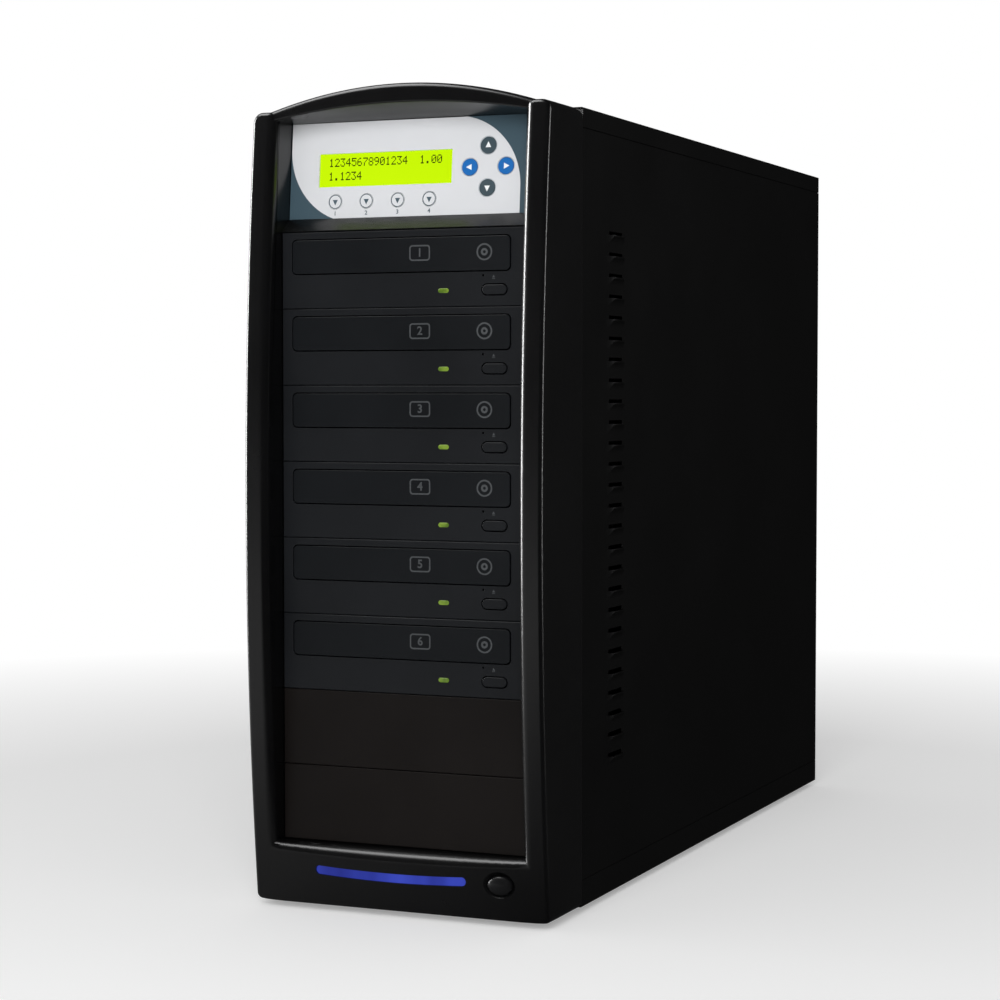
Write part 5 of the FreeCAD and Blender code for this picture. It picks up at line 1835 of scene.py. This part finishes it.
    def number_sign(self, number: int, low: float) -> Piece:
        """Makes the drive's number in a rounded frame on its door.

        Args:
            number: The drive's number.
            low: The height of its underside.

        Returns:
            The sign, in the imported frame.
        """
        x, z = self.number_mark[0], low + self.number_mark[1]
        wide, tall = (part / 2 for part in self.number_size)
        back, line = self.door_front, self.number_line
        front = back - PRINT_DEPTH
        outer, inner = self.number_rounds
        sign = self.plate("frame", (x - wide, front, z - tall), (x + wide, back, z + tall), outer)
        carve(sign, self.plate("frame_cutter", (x - wide + line, front - 1, z - tall + line),
                               (x + wide - line, back + 1, z + tall - line), inner))
        figure = printed_text("figure", str(number), self.figure_height, (x, z), back)
        return dress(settle(join([sign, figure], "number_sign")), Finish.MARK)


# Steel case


@dataclass
class SteelCase:
    """The case's sheets, its screws and its feet; edges are metres and the screw's sizes millimetres."""

    sheets: tuple[str, ...] = ("left_panel", "right_panel", "top_cover", "base_pan", "rear_panel")
    sheet_edge: float = 0.00025
    foot_edge: float = 0.0008
    side_zone: float = 0.003
    head_radius: float = 3.4
    head_height: float = 2.0
    head_round: float = 1.1
    shank_radius: float = 1.5
    shank_length: float = 5.0
    shank_root: float = 0.5
    cross_width: float = 0.8
    cross_reach: float = 1.9
    cross_depth: float = 1.2

    def build(self) -> None:
        """Makes the sheets, the feet and the screws."""
        for sheet in self.sheets:
            dress(refined(sheet, self.sheet_edge), Finish.CASE)
        dress(refined("feet", self.foot_edge), Finish.RUBBER)
        self.screws()
        log.info("steel case: %d sheets, feet and screws", len(self.sheets))

    def screw(self) -> Piece:
        """Makes one pan head screw with a cross recess, its head's seat at the origin and facing +Y.

        Returns:
            The screw, in millimetres.
        """
        top, wide, long = self.head_height, self.cross_width, self.cross_reach
        head = drum("screw", self.head_radius, Vector((0, 0, 0)), top, 32)
        with Bench(head) as bench:
            bench.edges(lambda a, b: a.y > top - 0.01 and b.y > top - 0.01)
            bpy.ops.mesh.bevel(offset=self.head_round, segments=4, affect="EDGES")
        for x, z in ((wide, long), (long, wide)):
            carve(head, block("cross", (-x, top - self.cross_depth, -z), (x, top + 1, z)))
        shank = drum("shank", self.shank_radius, Vector((0, -self.shank_length, 0)),
                     self.shank_length + self.shank_root, 16)
        carve(head, shank, Cut.TOGETHER)
        return head

    def packed_boxes(self) -> list[tuple[Vector, Vector]]:
        """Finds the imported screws.

        Returns:
            The lowest and highest corner of each one.
        """
        spots = merged_copy("screws", "screw_spots")
        with Bench(spots) as bench:
            bench.everything()
            bpy.ops.mesh.separate(type="LOOSE")
        boxes = []
        for piece in list(bpy.context.selected_objects):
            corners = [point.co for point in piece.data.vertices]
            low, high = (Vector([pick(corner[axis] for corner in corners) for axis in range(3)])
                         for pick in (min, max))
            boxes.append((low, high))
            bpy.data.objects.remove(piece, do_unlink=True)
        return sorted(boxes, key=lambda pair: tuple(pair[0]))

    def screws(self) -> None:
        """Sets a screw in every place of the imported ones."""
        boxes = self.packed_boxes()
        master = self.screw()
        side_reach = max(high.x for _, high in boxes) - self.side_zone
        copies = []
        for low, high in boxes:
            middle = (low + high) / 2
            if high.x > side_reach or low.x < -side_reach:
                sign = 1 if middle.x > 0 else -1
                outer = high.x if sign > 0 else low.x
                seat = Vector((outer - sign * self.head_height * MM, middle.y, middle.z))
                turn = Matrix.Rotation(-sign * math.pi / 2, 4, "Z")
            else:
                seat = Vector((middle.x, high.y - self.head_height * MM, middle.z))
                turn = Matrix.Identity(4)
            twin = copied(master, "screw_copy", Vector((0, 0, 0)))
            twin.matrix_world = Matrix.Translation(seat) @ turn @ Matrix.Scale(MM, 4)
            copies.append(freeze(twin))
        bpy.data.objects.remove(master, do_unlink=True)
        piece = join(copies, "pan_head_screws")
        shade(piece, 35)
        dress(piece, Finish.SCREW)
        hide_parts("screws")
        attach(piece, "root")
        log.info("pan_head_screws: %d", len(copies))


# Rear and inside


@dataclass
class Machinery:
    """The power supply, the fans, the blank covers and what the case holds; edges are metres."""

    finished: tuple[tuple[str, Finish, str, float], ...] = (
        ("psu_case", Finish.ZINC, "zinc_steel", 0.0003),
        ("power_inlet", Finish.SWITCH, "switch_plastic", 0.0004),
        ("fan_frames", Finish.FAN, "fan_plastic", 0.0004),
        ("exhaust_fan_rotor", Finish.FAN, "fan_plastic", 0.0003),
        ("psu_fan_rotor", Finish.FAN, "fan_plastic", 0.0003),
        ("blank_cover_1", Finish.BLANK, "blank_plastic", 0.0005),
        ("blank_cover_2", Finish.BLANK, "blank_plastic", 0.0005),
        ("power_switch", Finish.SWITCH, "switch_plastic", 0.0003))
    carried: tuple[tuple[str, Finish], ...] = (
        ("lcd_module", Finish.CHIP), ("control_board", Finish.BOARD), ("drive_cases", Finish.ZINC),
        ("front_frame", Finish.ZINC), ("drive_cage", Finish.ZINC), ("copy_controller", Finish.BOARD))
    rocker_edge: float = 0.0004

    def build(self) -> None:
        """Makes or dresses each piece."""
        for node, finish, slot, edge in self.finished:
            dress(refined(node, edge), finish)
            log.info("%s", node)
        for node, finish in self.carried:
            dress(frame["nodes"][node], finish)
            log.info("%s, as packed", node)
        self.rocker()

    def rocker(self) -> None:
        """Makes the rocker switch's key with soft edges."""
        low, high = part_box("power_rocker")
        piece = dress(soften(merged_copy("power_rocker", "rocker_key"), self.rocker_edge), Finish.SWITCH)
        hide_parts("power_rocker")
        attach(piece, "power_rocker")
        log.info("rocker_key: %.1f mm tall", (high[2] - low[2]) / MM)


def main() -> None:
    """Builds the studio and every sub-assembly in order."""
    Studio().build()
    Bezel().build()
    KeyPanel().build()
    DiscDrives().build()
    SteelCase().build()
    Machinery().build()


if __name__ == "__main__":
    main()
